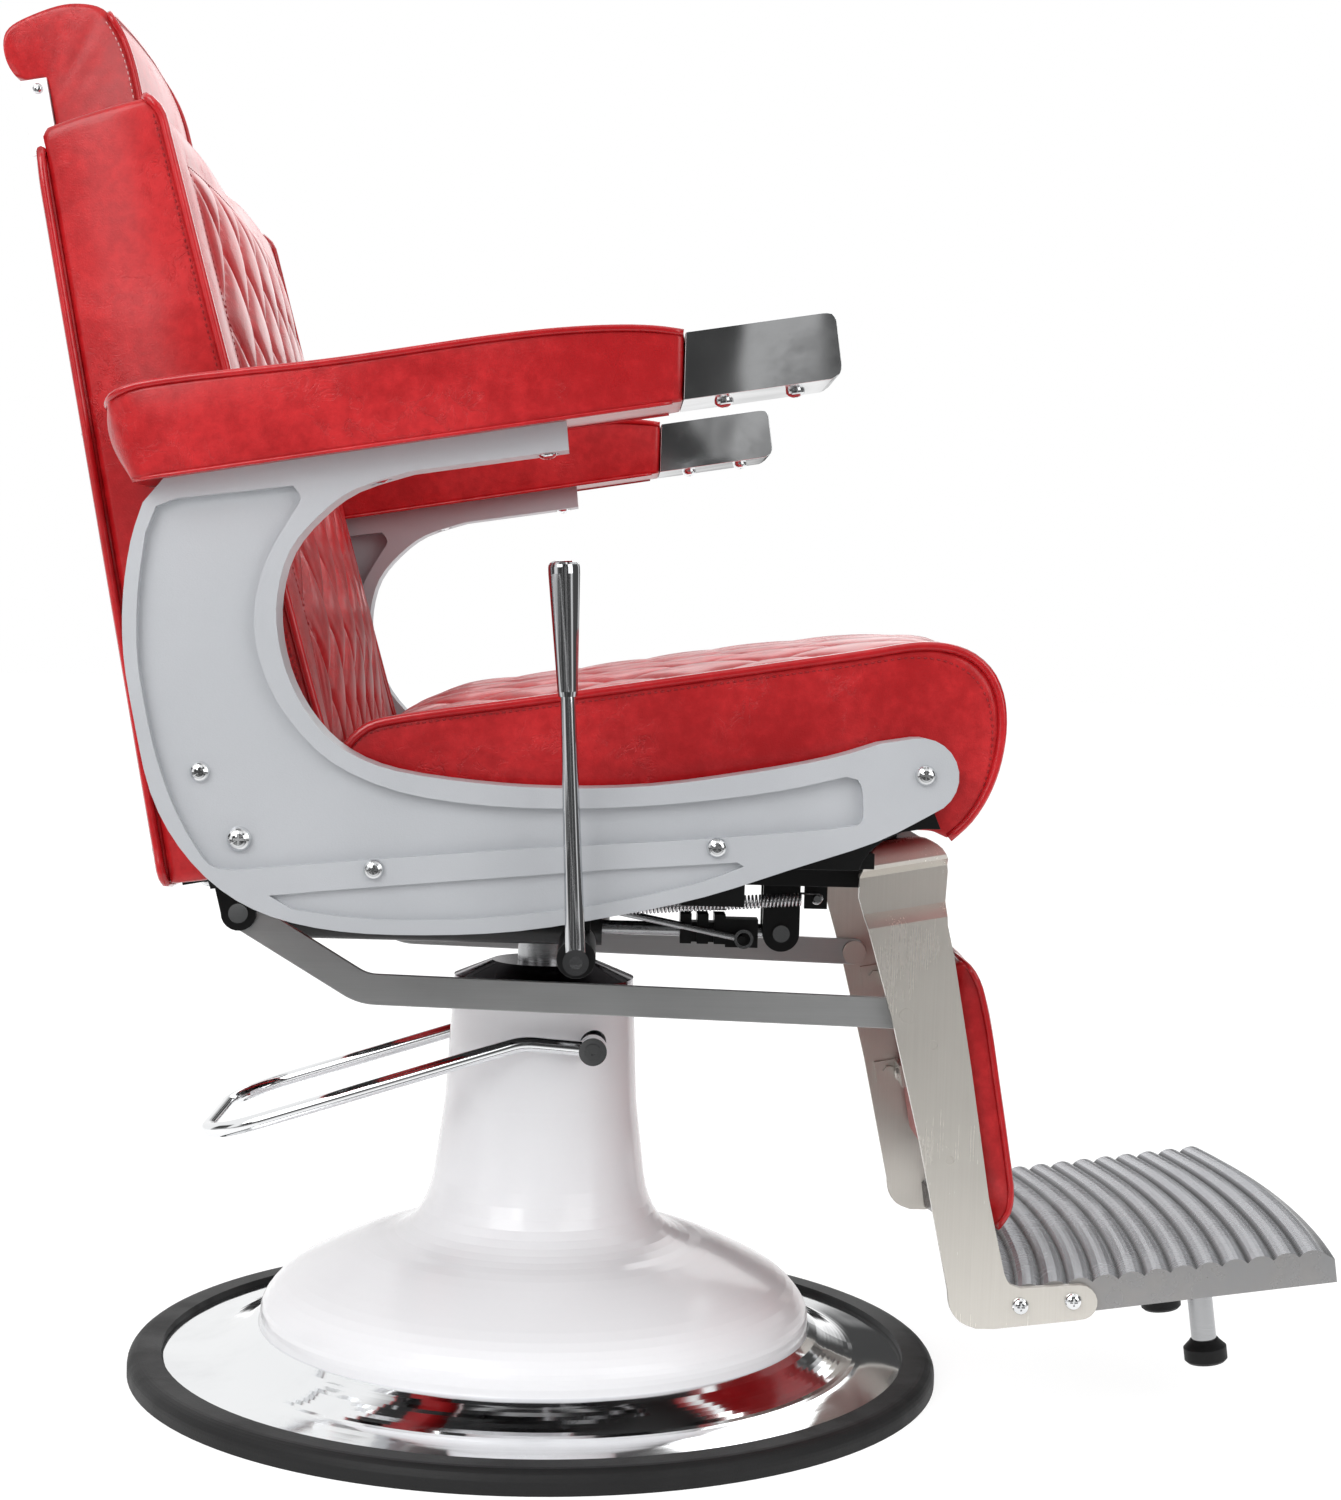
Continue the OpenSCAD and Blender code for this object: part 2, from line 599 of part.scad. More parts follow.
module side_frame() color("#b9bcc1") difference() {
    slab(frame_outline, frame_in, frame_out);
    slab(recess_outline, frame_out - recess_depth, frame_out + cut);
    slab(slot_outline, frame_out - slot_depth, frame_out + cut);
    difference() {
        slab(recess_outline, frame_in - cut, frame_out - recess_depth - web_t);
        for (p = frame_bosses) cross_bar(p, 15, frame_in - 2*cut, frame_out);
    }
    cross_bar(back_pivot, back_bolt_d/2 + 0.02, frame_in - cut, frame_out + cut);
    cross_bar([-209, 454], frame_bolt_d/2 + 0.02, frame_in + 8, frame_out + cut);
    for (p = frame_holes) cross_bar(p, frame_bolt_d/2 + 0.02, frame_in - cut, frame_out + cut);
    along_arm() for (x = bar_screws) translate([(x - arm_rear.x)/cos(arm_slope), 0, -40]) {
        cylinder(d = arm_screw_d + 0.04, h = 60);
        cylinder(d = 14, h = 40 - bar_h);
    }
}
module side_frame_left() seat_level() side_frame();
module side_frame_right() seat_level() mirrored() side_frame();

module frame_screws() seat_level() color("#c9cbce") both() {
    for (p = frame_holes) translate([p.x, frame_out, p.y]) rotate([-90, 0, 0])
        dome_screw(dome_d, frame_bolt_d, frame_t + (p == lobe_bolt ? wall_t : side_plate_t));
    translate([-209, frame_out - recess_depth, 454]) rotate([-90, 0, 0])
        dome_screw(dome_d, frame_bolt_d, frame_t - recess_depth - 8);
}

module back_pivots() seat_level() color("#c9cbce") both() {
    translate([back_pivot.x, frame_out - recess_depth, back_pivot.y]) rotate([-90, 0, 0])
        dome_screw(dome_d + 3, back_bolt_d, frame_out - recess_depth - back_y);
    difference() {
        cross_bar(back_pivot, 13, back_y + hinge_t + 0.6, frame_in);
        cross_bar(back_pivot, back_bolt_d/2 + 0.02, back_y, frame_in + cut);
    }
}

// ---------- armrests ----------

arm_screw_d = 7;
cap_rear = 82;
cap_front = 177;
cap_screws = [108, 152];
pad_chain = smooth([[-267, 657], [-267, 672], [-253, 684], [-215, 692], [-131, 704], [-35, 721],
    [18, 728], [58, 730], [80, 728]], 2);

// The board is drawn in the arm's own direction: x along the arm, z up from the bar's top
module along_arm() translate([arm_rear.x, arm_y, arm_rear.y]) rotate([0, -arm_slope, 0]) children();
arm_run = (cap_front - arm_rear.x)/cos(arm_slope);

module arm_board() color("#b98d5a") along_arm() difference() {
    translate([6, -arm_w/2 + 9, 0]) cube([arm_run - 16, arm_w - 18, arm_board_t]);
    for (x = concat(bar_screws, cap_screws)) translate([(x - arm_rear.x)/cos(arm_slope), 0, -cut])
        cylinder(d = arm_screw_d + 0.04, h = arm_board_t + 2*cut);
    // The front end rests on the cap's flange
    translate([(cap_rear - arm_rear.x)/cos(arm_slope) - 2, -arm_w, -cut])
        cube([200, 2*arm_w, arm_cap_t + cut]);
}
module arm_board_left() seat_level() arm_board();
module arm_board_right() seat_level() mirrored() arm_board();

module arm_pad() color("#c1272d") translate([0, arm_y, 0]) difference() {
    count = len(pad_chain);
    flank = 0.3;
    pad_skin(pad_ribs(pad_chain,
        [for (p = level([-252, 0], [cap_rear - soft, 0], count)) [p.x, arm_line(p.x)]],
        arm_w/2, 8, 3, [for (i = [0:count - 1]) between(i, 3, count - 4) ? 4 : 0],
        [for (i = [0:count - 1]) 0], [for (i = [0:count - 1]) 0]));
    translate([arm_rear.x, 0, arm_rear.y]) rotate([0, -arm_slope, 0])
        translate([6 - flank, -arm_w/2 + 9 - flank, -20])
            cube([arm_run, arm_w - 18 + 2*flank, 20 + arm_board_t + flank]);
}
module arm_pad_left() seat_level() arm_pad();
module arm_pad_right() seat_level() mirrored() arm_pad();

cap_outline = concat([[cap_rear, arm_line(cap_rear)], [cap_rear, 729]],
    smooth([[164, 743], [170, 743], [173, 739]], 2),
    smooth([[cap_front, 712], [cap_front - 1, 707], [cap_front - 6, arm_line(cap_front - 6)]], 2));

module arm_cap() color("#d9dadc") difference() {
    slab(cap_outline, arm_y - arm_w/2, arm_y + arm_w/2);
    difference() {
        translate([-arm_cap_t, 0, -arm_cap_t]) slab(cap_outline, arm_y - arm_w/2 + arm_cap_t,
            arm_y + arm_w/2 - arm_cap_t);
        along_arm() translate([0, -arm_w/2, -20]) cube([500, arm_w, 20 + arm_cap_t]);
    }
    along_arm() for (x = cap_screws) translate([(x - arm_rear.x)/cos(arm_slope), 0, -cut])
        cylinder(d = arm_screw_d + 0.04, h = arm_cap_t + 2*cut);
}
module arm_cap_left() seat_level() arm_cap();
module arm_cap_right() seat_level() mirrored() arm_cap();

module arm_screws() seat_level() color("#c9cbce") both() along_arm() {
    for (x = bar_screws) translate([(x - arm_rear.x)/cos(arm_slope), 0, -bar_h])
        rotate([180, 0, 0]) dome_screw(12, arm_screw_d, bar_h + arm_board_t);
    for (x = cap_screws) translate([(x - arm_rear.x)/cos(arm_slope), 0, 0])
        rotate([180, 0, 0]) dome_screw(12, arm_screw_d, arm_board_t);
}

// ---------- recline lock ----------

lock_r = lock_d/2;
lock_rear_x = -185;
lock_front_x = 42;
lock_wall = 3;

module lock_pins() seat_level() color("#b4b6b9") {
    cross_bar(lock_pin, lock_pin_d/2, lock_y - 17, lock_y + 17);
    cross_bar(spring_tab, spring_pin_d/2, spring_y - 5, spring_y + 11);
}

module lock_valve() seat_level() color("#232325") difference() {
    union() {
        for (x = [97, 109, 121]) block(x, x + 8, lock_y - 11, lock_y + 11, lock_pin.y - 9,
            lock_pin.y + 12);
        block(97, 140, lock_y - 8, lock_y + 8, lock_pin.y - 8, lock_pin.y + 6);
        block(129, 152, lock_y - 11, lock_y + 7, lock_pin.y - 11, lock_pin.y + 9);
        cross_bar(valve_pin, spring_pin_d/2, release_y - 4, lock_y);
    }
    translate([0, lock_y, lock_pin.y]) rotate([0, 90, 0]) cylinder(r = lock_rod_d/2 + 0.02, h = 200);
}
valve_pin = [140, 336];

module lock_rod() seat_level() color("#c4c6c9") difference() {
    union() {
        translate([-95, lock_y, lock_pin.y]) rotate([0, 90, 0])
            cylinder(d = lock_rod_d, h = lock_pin.x - 6 + 95);
        translate([-95, lock_y, lock_pin.y]) rotate([0, 90, 0])
            cylinder(r = lock_r - lock_wall - 0.1, h = 10);
        cross_bar(lock_pin, 10, lock_y - 7, lock_y + 7);
    }
    cross_bar(lock_pin, lock_pin_d/2 + 0.05, lock_y - 12, lock_y + 12);
}

eye_lift = 0.8; // the rear eye's slot is a little higher than the pin, for the pin's arc
module lock_cylinder() seat_level() color("#1d1d1f") difference() {
    union() {
        translate([lock_rear_x, lock_y, lock_pin.y]) rotate([0, 90, 0])
            cylinder(r = lock_r, h = lock_front_x - lock_rear_x);
        slab(concat(arc(rear_pin + [0, eye_lift], 15, 90, 270, 12),
            [[lock_rear_x + 12, lock_pin.y - 4], [lock_rear_x + 12, lock_pin.y + 4]]),
            lock_y - 4, lock_y + 4);
    }
    translate([lock_rear_x + 15, lock_y, lock_pin.y]) rotate([0, 90, 0])
        cylinder(r = lock_r - lock_wall, h = lock_front_x - lock_rear_x - 25);
    translate([lock_rear_x + 20, lock_y, lock_pin.y]) rotate([0, 90, 0])
        cylinder(r = lock_rod_d/2 + run, h = lock_front_x - lock_rear_x);
    for (z = [-4:2:4]) cross_bar(rear_pin + [0, eye_lift + z], link_pin_d/2 + 0.9,
        lock_y - 10, lock_y + 10);
}

release_crank = lever_pivot + 12*[cos(45), sin(45)];
release_throw = 3;

module release_rod() seat_level() color("#c4c6c9") difference() {
    back_eye = release_crank + [0, 1.1];
    front_eye = valve_pin + [release_throw/2, 0];
    union() {
        straight([back_eye.x, release_y, back_eye.y], [front_eye.x, release_y, front_eye.y], 5);
        cross_bar(back_eye, 6.4, release_y - 2.5, release_y + 2.5);
        cross_bar(front_eye, 6.8, release_y - 2.5, release_y + 2.5);
    }
    cross_bar(back_eye, 4.2, release_y - 4, release_y + 4);
    cross_bar(front_eye, 4.6, release_y - 4, release_y + 4);
}

// The lever stands on the shaft's thin end
lever_y = bearing_out + 10;
lever_hub = 7; // half of its hub's length
lever_end_r = 4;

module lever_shaft() seat_level() color("#4a4b4e") {
    cross_bar(lever_pivot, lever_shaft_d/2, -lever_y + lever_hub, release_y - 4);
    cross_bar(lever_pivot, lever_end_r, -lever_y - lever_hub, -bearing_out);
    translate([lever_pivot.x, 0, lever_pivot.y]) rotate([0, -45, 0])
        block(0, 12, release_y - 8, release_y - 4, -3, 3);
    cross_bar(release_crank, 2.5, spring_y - 5, release_y + 4);
}

// The lever leans a little back from its shaft, so it is drawn along its own axis
lever_top = [12.5, 585];
lever_lean = atan2(lever_pivot.x - lever_top.x, lever_top.y - lever_pivot.y);
lever_l = norm(lever_top - lever_pivot);
grip_l = 78;

module along_lever() translate([lever_pivot.x, -lever_y, lever_pivot.y])
    rotate([0, -lever_lean, 0]) children();

module recline_lever() seat_level() color("#d4d6d9") along_lever() difference() {
    union() {
        cylinder(r1 = 6.2, r2 = 4.6, h = lever_l - grip_l);
        rotate([90, 0, 0]) cylinder(r = 8, h = 2*lever_hub, center = true);
    }
    rotate([90, 0, 0]) cylinder(r = lever_end_r + run, h = 4*lever_hub, center = true);
}

module lever_grip() seat_level() color("#d4d6d9") along_lever()
    translate([0, 0, lever_l - grip_l]) rotate_extrude() polygon(concat(
        [[0, 0], [5.6, 0], [6.2, 3], [9.6, grip_l - 4]],
        arc([5.6, grip_l], 4, 0, 90, 4), [[0, grip_l + 4]]));

// ---------- return spring ----------

spring_turns = 52;
spring_r = spring_d/2 - spring_wire_d/2;
spring_from = [release_crank.x, spring_y, release_crank.y];
spring_to = [spring_tab.x, spring_y, spring_tab.y];
spring_way = unit(spring_to - spring_from);
spring_side = [0, 1, 0];
spring_up = cross(spring_way, spring_side);
hook_l = 11;
body_l = norm(spring_to - spring_from) - 2*hook_l;
hook_r = spring_pin_d/2 + spring_wire_d/2 + 0.35;
// The wire's centre line: a hook over the first pin, the turns, and a hook over the second
function wire_turn(i, n) = let (a = 360*spring_turns*i/n)
    spring_from + spring_way*(hook_l + body_l*i/n)
    + spring_r*(spring_up*cos(a) + spring_side*sin(a));
function hook(at, dir) = [for (a = [-150:30:60]) at + hook_r*(dir*cos(a)*-1 + spring_up*sin(a))];
spring_steps = 8;
spring_line = concat(
    hook(spring_from, spring_way),
    [for (i = [0:spring_steps*spring_turns]) wire_turn(i, spring_steps*spring_turns)],
    reversed(hook(spring_to, -spring_way)));

function ring_frame(p, i) = let (t = unit(run_at(p, i + 1) - run_at(p, i - 1)),
    s = unit(cross(t, abs(t*spring_way) > 0.9 ? spring_side : spring_way))) [s, cross(t, s)];
module wire(p, d, sides) {
    n = len(p);
    polyhedron(flat([for (i = [0:n - 1]) let (f = ring_frame(p, i)) [for (k = [0:sides - 1])
        p[i] + d/2*(f[0]*cos(360*k/sides) + f[1]*sin(360*k/sides))]]),
        concat([[for (k = [0:sides - 1]) k]],
            flat([for (i = [0:n - 2]) for (k = [0:sides - 1]) let (
                a = i*sides + k, b = i*sides + (k + 1)%sides, c = b + sides, d2 = a + sides)
                [[a, d2, c], [a, c, b]]]),
            [[for (k = [sides - 1:-1:0]) (n - 1)*sides + k]]));
}
module return_spring() seat_level() color("#c4c6c9") wire(spring_line, spring_wire_d, 6);

// ---------- back ----------

back_foot = [-236, 376]; // lower rear corner of the back
module back_local() translate([back_foot.x, 0, back_foot.y]) rotate([0, -back_tilt, 0]) children();
back_l = 486;
foot_low = 3; // underside of the panel and the board
hinge_t = 6;
back_front = panel_t + back_board_t;
back_chain = concat([[47, 6], [76, 0], [95, 10], [108, 34], [114, 62], [112, 90]],
    [for (i = [0:12]) [109 - 2.75*i, 120 + (back_l - 126)*i/12]],
    [[73, back_l + 2], [62, back_l + 10], [44, back_l + 11]]);
back_quilt_from = 6;
back_quilt_to = 18;

module back_cushion() seat_level() color("#c1272d") back_local() {
    last = len(back_chain) - 1;
    // The chain runs upwards along the front, so its normals are turned to face forwards
    mirror([1, 0, 0]) pad_skin(pad_ribs([for (p = back_chain) [-p.x, p.y]],
        level([-back_front - soft, 6], [-back_front - soft, back_l + 4], last + 1),
        back_y, quilt_cols + 4, 4,
        [for (i = [0:last]) between(i, back_quilt_from, back_quilt_to)
            ? back_crown*min(1, (i - back_quilt_from + 1)/3, (back_quilt_to - i + 2)/3) : 0],
        [for (i = [0:last]) between(i, back_quilt_from, back_quilt_to) ? quilt_depth : 0],
        [for (i = [0:last]) 0]));
}

module back_board() seat_level() color("#b98d5a") back_local()
    block(panel_t, back_front, -back_y + 3, back_y - 3, foot_low, back_l - 4);

guide_l = 165;
guide_from = back_l - guide_l - 36;
bar_gap = 7; // gap between the rear panel and the headrest's bar
guide_t = 3;
guide_in = headrest_bar_w/2 + pass;
guide_out = guide_in + 16;
guide_rear = bar_gap + headrest_bar_t + pass;
guide_bolts = [for (v = [20, guide_l - 20]) for (s = [-1, 1]) [s*(guide_in + 9.5), guide_from + v]];

module back_panel() seat_level() color("#b02227") back_local() difference() {
    block(0, panel_t, -back_y + 3, back_y - 3, foot_low, back_l - 4);
    for (b = guide_bolts) translate([-cut, b.x, b.y]) rotate([0, 90, 0]) cylinder(d = 5.04, h = 20);
}

module headrest_guide() seat_level() color("#e2e3e5") back_local() difference() {
    block(-guide_rear - guide_t, 0, -guide_out, guide_out, guide_from, guide_from + guide_l);
    block(-guide_rear, -bar_gap + pass, -guide_in, guide_in, guide_from - cut,
        guide_from + guide_l + cut);
    block(-bar_gap, cut, -guide_in + 6, guide_in - 6, guide_from - cut, guide_from + guide_l + cut);
    both() block(-guide_rear - guide_t - cut, -guide_t, guide_in + guide_t, guide_out + cut,
        guide_from - cut, guide_from + guide_l + cut);
    for (b = guide_bolts) translate([-10, b.x, b.y]) rotate([0, 90, 0]) cylinder(d = 5.04, h = 20);
}

module back_screws() seat_level() color("#8f9196") back_local() {
    for (b = guide_bolts) translate([-guide_t, b.x, b.y]) rotate([0, -90, 0])
        dome_screw(9, 5, guide_t + panel_t - 1);
    for (y = foot_screws_y) translate([16, y, foot_low - foot_rail_t]) rotate([180, 0, 0])
        dome_screw(11, 6, foot_rail_t);
}

// The steel frame at the back's foot: a rail under the boards, hinge plates, ears for the pins
rail_front = 44;
foot_rail_t = 6;
rail_y = leg_in + 34; // the wide part of the foot rail
foot_screws_y = [for (y = [60, leg_in + 24], s = [-1, 1]) s*y]; // clear of the pins' ears
module pin_ear(at, r, y1, y2) slab(concat(arc(at, r, 180, 345, 10),
    [[at.x + r, 380], [at.x - r - 6, 376]]), y1, y2);
module back_frame() seat_level() color("#19191b") difference() {
    union() {
        back_local() {
            block(0, rail_front, -rail_y, rail_y, foot_low - foot_rail_t, foot_low);
            block(rail_front - 16, rail_front, -back_y - hinge_t - 0.3, back_y + hinge_t + 0.3,
                foot_low - foot_rail_t, foot_low);
        }
        both() slab(concat([[-208, 377], [-192, 379]], arc(back_pivot, 20, -50, 90, 8),
            [[-200, 446], [-212, 444], [-219, 424], [-216, 400]]), back_y + 0.3, back_y + hinge_t + 0.3);
        both() {
            pin_ear(rear_pin, 12, link_in - 0.4 - ear_t, link_in - 0.4);
            pin_ear(rear_pin, 12, link_out + 0.4, link_out + 0.4 + ear_t);
        }
        for (y = [lock_y - 4.4 - ear_t, lock_y + 4.4]) pin_ear(rear_pin, 12, y, y + ear_t);
    }
    back_local() for (y = foot_screws_y) translate([16, y, foot_low - foot_rail_t - cut])
        cylinder(d = 6.04, h = foot_rail_t + 2*cut);
    both() cross_bar(back_pivot, back_bolt_d/2 + run, back_y - cut, back_y + hinge_t + 2*cut);
    both() cross_bar(rear_pin, link_pin_d/2 + 0.02, link_in - 10, link_out + 10);
    cross_bar(rear_pin, link_pin_d/2 + 0.02, lock_y - 12, lock_y + 12);
}

module rear_link_pins() seat_level() color("#c4c6c9") {
    both() {
        cross_bar(rear_pin, link_pin_d/2, link_in - 0.4 - ear_t - 2, link_out + 0.4 + ear_t);
        cross_bar(rear_pin, link_pin_d/2 + 1.6, link_out + 0.4 + ear_t, link_out + 2.4 + ear_t);
    }
    cross_bar(rear_pin, link_pin_d/2, lock_y - 4.4 - ear_t - 2, lock_y + 4.4 + ear_t + 2);
}

// ---------- headrest ----------

headrest_low = back_l + 17;
headrest_board_t = 8;
headrest_rear = -bar_gap;
headrest_outer = [for (p = smooth([[42, 0], [42.5, 28], [42.5, 50], [40.5, 64], [36.5, 77], [30.5, 91],
    [21.5, 98.5], [2.5, 101.5], [-19.5, 98.5], [-37.5, 91.5], [-44.5, 81.5], [-44.5, 70.5],
    [-40.5, 60.5]], 2)) p + [0, headrest_low]];
roll_low = headrest_low + 55.5; // underside of the roll behind the board
roll_rear = -35.5;
headrest_back = -18.5; // rear of the cushion's sides, which wrap the board

module headrest_cushion() seat_level() color("#c1272d") back_local() difference() {
    last = len(headrest_outer) - 1;
    pad_skin(pad_ribs(reversed(headrest_outer),
        [for (i = [0:last]) let (s = i/last) s < 0.4
            ? [roll_rear + (headrest_back - roll_rear)*s/0.4, roll_low]
            : [headrest_back, roll_low - (roll_low - headrest_low)*(s - 0.4)/0.6]],
        headrest_w/2, 10, 3, [for (i = [0:last]) i > 4 ? 6 : 3],
        [for (i = [0:last]) 0], [for (i = [0:last]) 0]));
    block(headrest_back - 20, headrest_rear + headrest_board_t + soft, -headrest_w/2 + 12 - soft,
        headrest_w/2 - 12 + soft, headrest_low - 20, headrest_low + 49 + soft);
}

module headrest_board() seat_level() color("#b98d5a") back_local()
    block(headrest_rear, headrest_rear + headrest_board_t, -headrest_w/2 + 12, headrest_w/2 - 12,
        headrest_low + 2, headrest_low + 49);

bar_stays = 95; // length of the bar that stays in the guide at full height
headrest_bar_low = guide_from + guide_l - bar_stays - headrest_travel;
bar_bolts = [for (s = [-1, 1]) for (v = [12, 37]) [s*14, headrest_low + v]];
// The bar carries a folded tray, whose sides turn to the rear under the cushion's roll
tray_t = 3;
tray_front = headrest_back - soft;
tray_y = headrest_w/2 - 2;
tray_low = headrest_low + 3;
tray_high = roll_low - 1;
tray_bolt = [tray_front - 7, tray_high - 6.5];
module headrest_bar() seat_level() color("#f1f1f1") back_local() difference() {
    union() {
        block(-bar_gap - headrest_bar_t, -bar_gap, -headrest_bar_w/2, headrest_bar_w/2,
            headrest_bar_low, headrest_low + 47);
        block(tray_front - tray_t, -bar_gap, -headrest_bar_w/2, headrest_bar_w/2, tray_low,
            headrest_low + 47);
        block(tray_front - tray_t, tray_front, -tray_y, tray_y, tray_low, tray_high);
        both() block(tray_front - 18, tray_front, tray_y - tray_t, tray_y, tray_low, tray_high);
    }
    for (b = bar_bolts) translate([-25, b.x, b.y]) rotate([0, 90, 0]) cylinder(d = 5.04, h = 20);
    both() translate([tray_bolt.x, tray_y - 5, tray_bolt.y]) rotate([-90, 0, 0])
        cylinder(d = 3.04, h = 6);
}

module headrest_screws() seat_level() color("#8f9196") back_local() {
    for (b = bar_bolts) translate([tray_front - tray_t, b.x, b.y]) rotate([0, -90, 0])
        dome_screw(9, 5, tray_t - tray_front - bar_gap - 0.5);
    both() translate([tray_bolt.x, tray_y, tray_bolt.y]) rotate([-90, 0, 0])
        dome_screw(7, 3, tray_t);
}

// ---------- leg rest ----------

leg_outline = concat([[216, 388], [216, 372], [221, 356], [240, 292], [262, 206]],
    smooth([[284, 106], [286, 94], [293, 85], [304, 80.5]], 3),
    [[316, 80.5], [372, 87.5]], arc([375, 100], 12, -70, 90, 8),
    smooth([[334, 109], [326, 112], [322, 120]], 3),
    [[310, 171], [295, 260], [281, 335], [276, 356], [275, 372], [276, 392]],
    smooth([[275, 401], [271, 408], [263, 413], [250, 414], [237, 412], [226, 406], [219, 398]], 2));
foot_screws = [[334, 97], [370, 101]];
leg_lean = 10.5;
head_in = leg_out - leg_recess - leg_t; // inner face beside the pivot
// The bent strip from the front, s up from the pivot: straight, a step inwards, the rolled head
strip_line = [[leg_in, -350], [leg_out, -350], [leg_out, -31], [leg_out - leg_recess, -22],
    [leg_out - leg_recess, 3], [leg_out - 1, 8], [leg_out, 11], [leg_out - 2, 15.5],
    [leg_out - 6, 19], [leg_out - 12, 21.6], [leg_out - 20, 23], [leg_out - 33, 23.5],
    [leg_out - 33, 18.5], [leg_out - 20, 18], [leg_out - 13, 16.5], [leg_out - 9, 14],
    [leg_out - 7, 11], [head_in, 5], [head_in, -25], [leg_in, -34]];

module leg() color("#c9cacc") difference() {
    intersection() {
        slab(leg_outline, 0, leg_out + 10);
        translate([leg_pivot.x, 0, leg_pivot.y]) rotate([0, -leg_lean, 0])
            translate([-60, 0, 0]) rotate([90, 0, 90]) linear_extrude(200) polygon(strip_line);
    }
    cross_bar(leg_pivot, leg_bolt_d/2 + run, 0, head_in + 4.5);
    for (p = foot_screws) cross_bar(p, 4.02, leg_in - cut, leg_out + cut);
    cross_bar(front_pin, link_pin_d/2 + 0.02, leg_in - cut, leg_out + cut);
    for (z = bracket_z) cross_bar(bracket_bolt(z), 3.02, leg_in - cut, leg_out + cut);
}
module leg_left() seat_level() leg();
module leg_right() seat_level() mirrored() leg();

module leg_pivots() seat_level() color("#b4b6b9") both() {
    cross_bar(leg_pivot, leg_bolt_d/2, side_bar_in, head_in + 4);
    cross_bar(leg_pivot, leg_bolt_d/2 + 4, side_bar_out, head_in - 0.4);
}

module front_link_pins() seat_level() color("#8f9196") both() {
    cross_bar(front_pin, link_pin_d/2, link_in - 0.4, leg_out);
    cross_bar(front_pin, link_pin_d/2 + 4.5, link_in - 4.4, link_in - 0.4);
}

link_line = [rear_pin, [-119, 302], front_pin];
link_play = 1.7; // the front hole is larger than its pin by this in radius
module link_bar() color("#94979a") difference() {
    u = unit(link_line[1] - link_line[0]);
    w = unit(link_line[2] - link_line[1]);
    n = [-u.y, u.x];
    k = [-w.y, w.x];
    h = link_h/2;
    turn = acos(u*w);
    bend_r = 34;
    t = bend_r*tan(turn/2);
    c = link_line[1] + unit(w - u)*bend_r/cos(turn/2);
    a0 = atan2(-k.y, -k.x);
    slab(concat(arc(link_line[0], h, atan2(-n.y, -n.x) - 180, atan2(-n.y, -n.x), 8),
        arc(c, bend_r + h, a0 - turn, a0, 5),
        arc(link_line[2], h, atan2(-k.y, -k.x), atan2(-k.y, -k.x) + 180, 8),
        arc(c, bend_r - h, a0, a0 - turn, 5)), link_in, link_out);
    cross_bar(rear_pin, link_pin_d/2 + run, link_in - cut, link_out + cut);
    cross_bar(front_pin, link_pin_d/2 + link_play, link_in - cut, link_out + cut);
}
module link_left() seat_level() link_bar();
module link_right() seat_level() mirrored() link_bar();

// The footplate rises a little to the front; its ribs are arcs round a far centre
plate_tilt = 8;
plate_foot = [327, 109]; // top rear edge of the footplate between the legs
rib_far = 1290;
module along_plate() translate([plate_foot.x, 0, plate_foot.y]) rotate([0, -plate_tilt, 0]) children();
plate_bow = rib_far - sqrt(rib_far*rib_far - leg_in*leg_in);
rib_centre = footplate_l + plate_bow - rib_far;
rib_half = asin(leg_in/(rib_far - footplate_l - plate_bow)) + 1; // half of the arcs' angle
rib_count = floor((footplate_l - 4)/rib_pitch);
rib_steps = 6;
// The wavy top from the rear edge to the front edge, as radius from the arcs' centre
plate_top = [for (i = [0:rib_count - 1]) for (s = [0:rib_steps - 1])
    [rib_far - footplate_l - plate_bow + (footplate_l + plate_bow - 6)*(i + s/rib_steps)/rib_count,
        -rib_h + rib_h*pow(abs(sin(180*s/rib_steps)), 0.7)]];

module footplate() seat_level() color("#9fa1a4") along_plate() difference() {
    intersection() {
        translate([rib_centre, 0, 0]) rotate([0, 0, -rib_half])
            rotate_extrude(angle = 2*rib_half, $fn = 200)
            polygon(concat([[plate_top[0].x, -footplate_t - rib_h]], plate_top,
                [[rib_far - 6, -rib_h], [rib_far, -rib_h - 4], [rib_far, -footplate_t - rib_h]]));
        block(-60, 400, -leg_in, leg_in, -60, 20);
    }
    // Hollow underside, with two bosses left for the bumper posts
    difference() {
        block(10, footplate_l - 14, -leg_in + 12, leg_in - 12, -60, -rib_h - 8);
        for (s = [-1, 1]) translate([post_u, s*post_y, -60]) cylinder(r = post_d/2 + 6, h = 60);
    }
    for (s = [-1, 1]) translate([post_u, s*post_y, -60]) cylinder(d = post_d + 0.04, h = 60 - rib_h - 8);
    both() for (p = foot_screws) let (q = plate_local(p))
        translate([q.x, leg_in - 9, q.y]) rotate([-90, 0, 0]) cylinder(d = 8.04, h = 20);
}
function plate_local(p) = let (d = p - plate_foot) [d.x*cos(plate_tilt) + d.y*sin(plate_tilt),
    d.y*cos(plate_tilt) - d.x*sin(plate_tilt)];

module footplate_screws() seat_level() color("#c9cbce") both() for (p = foot_screws)
    translate([p.x, leg_out, p.y]) rotate([-90, 0, 0]) dome_screw(12, 8, leg_t + 8);

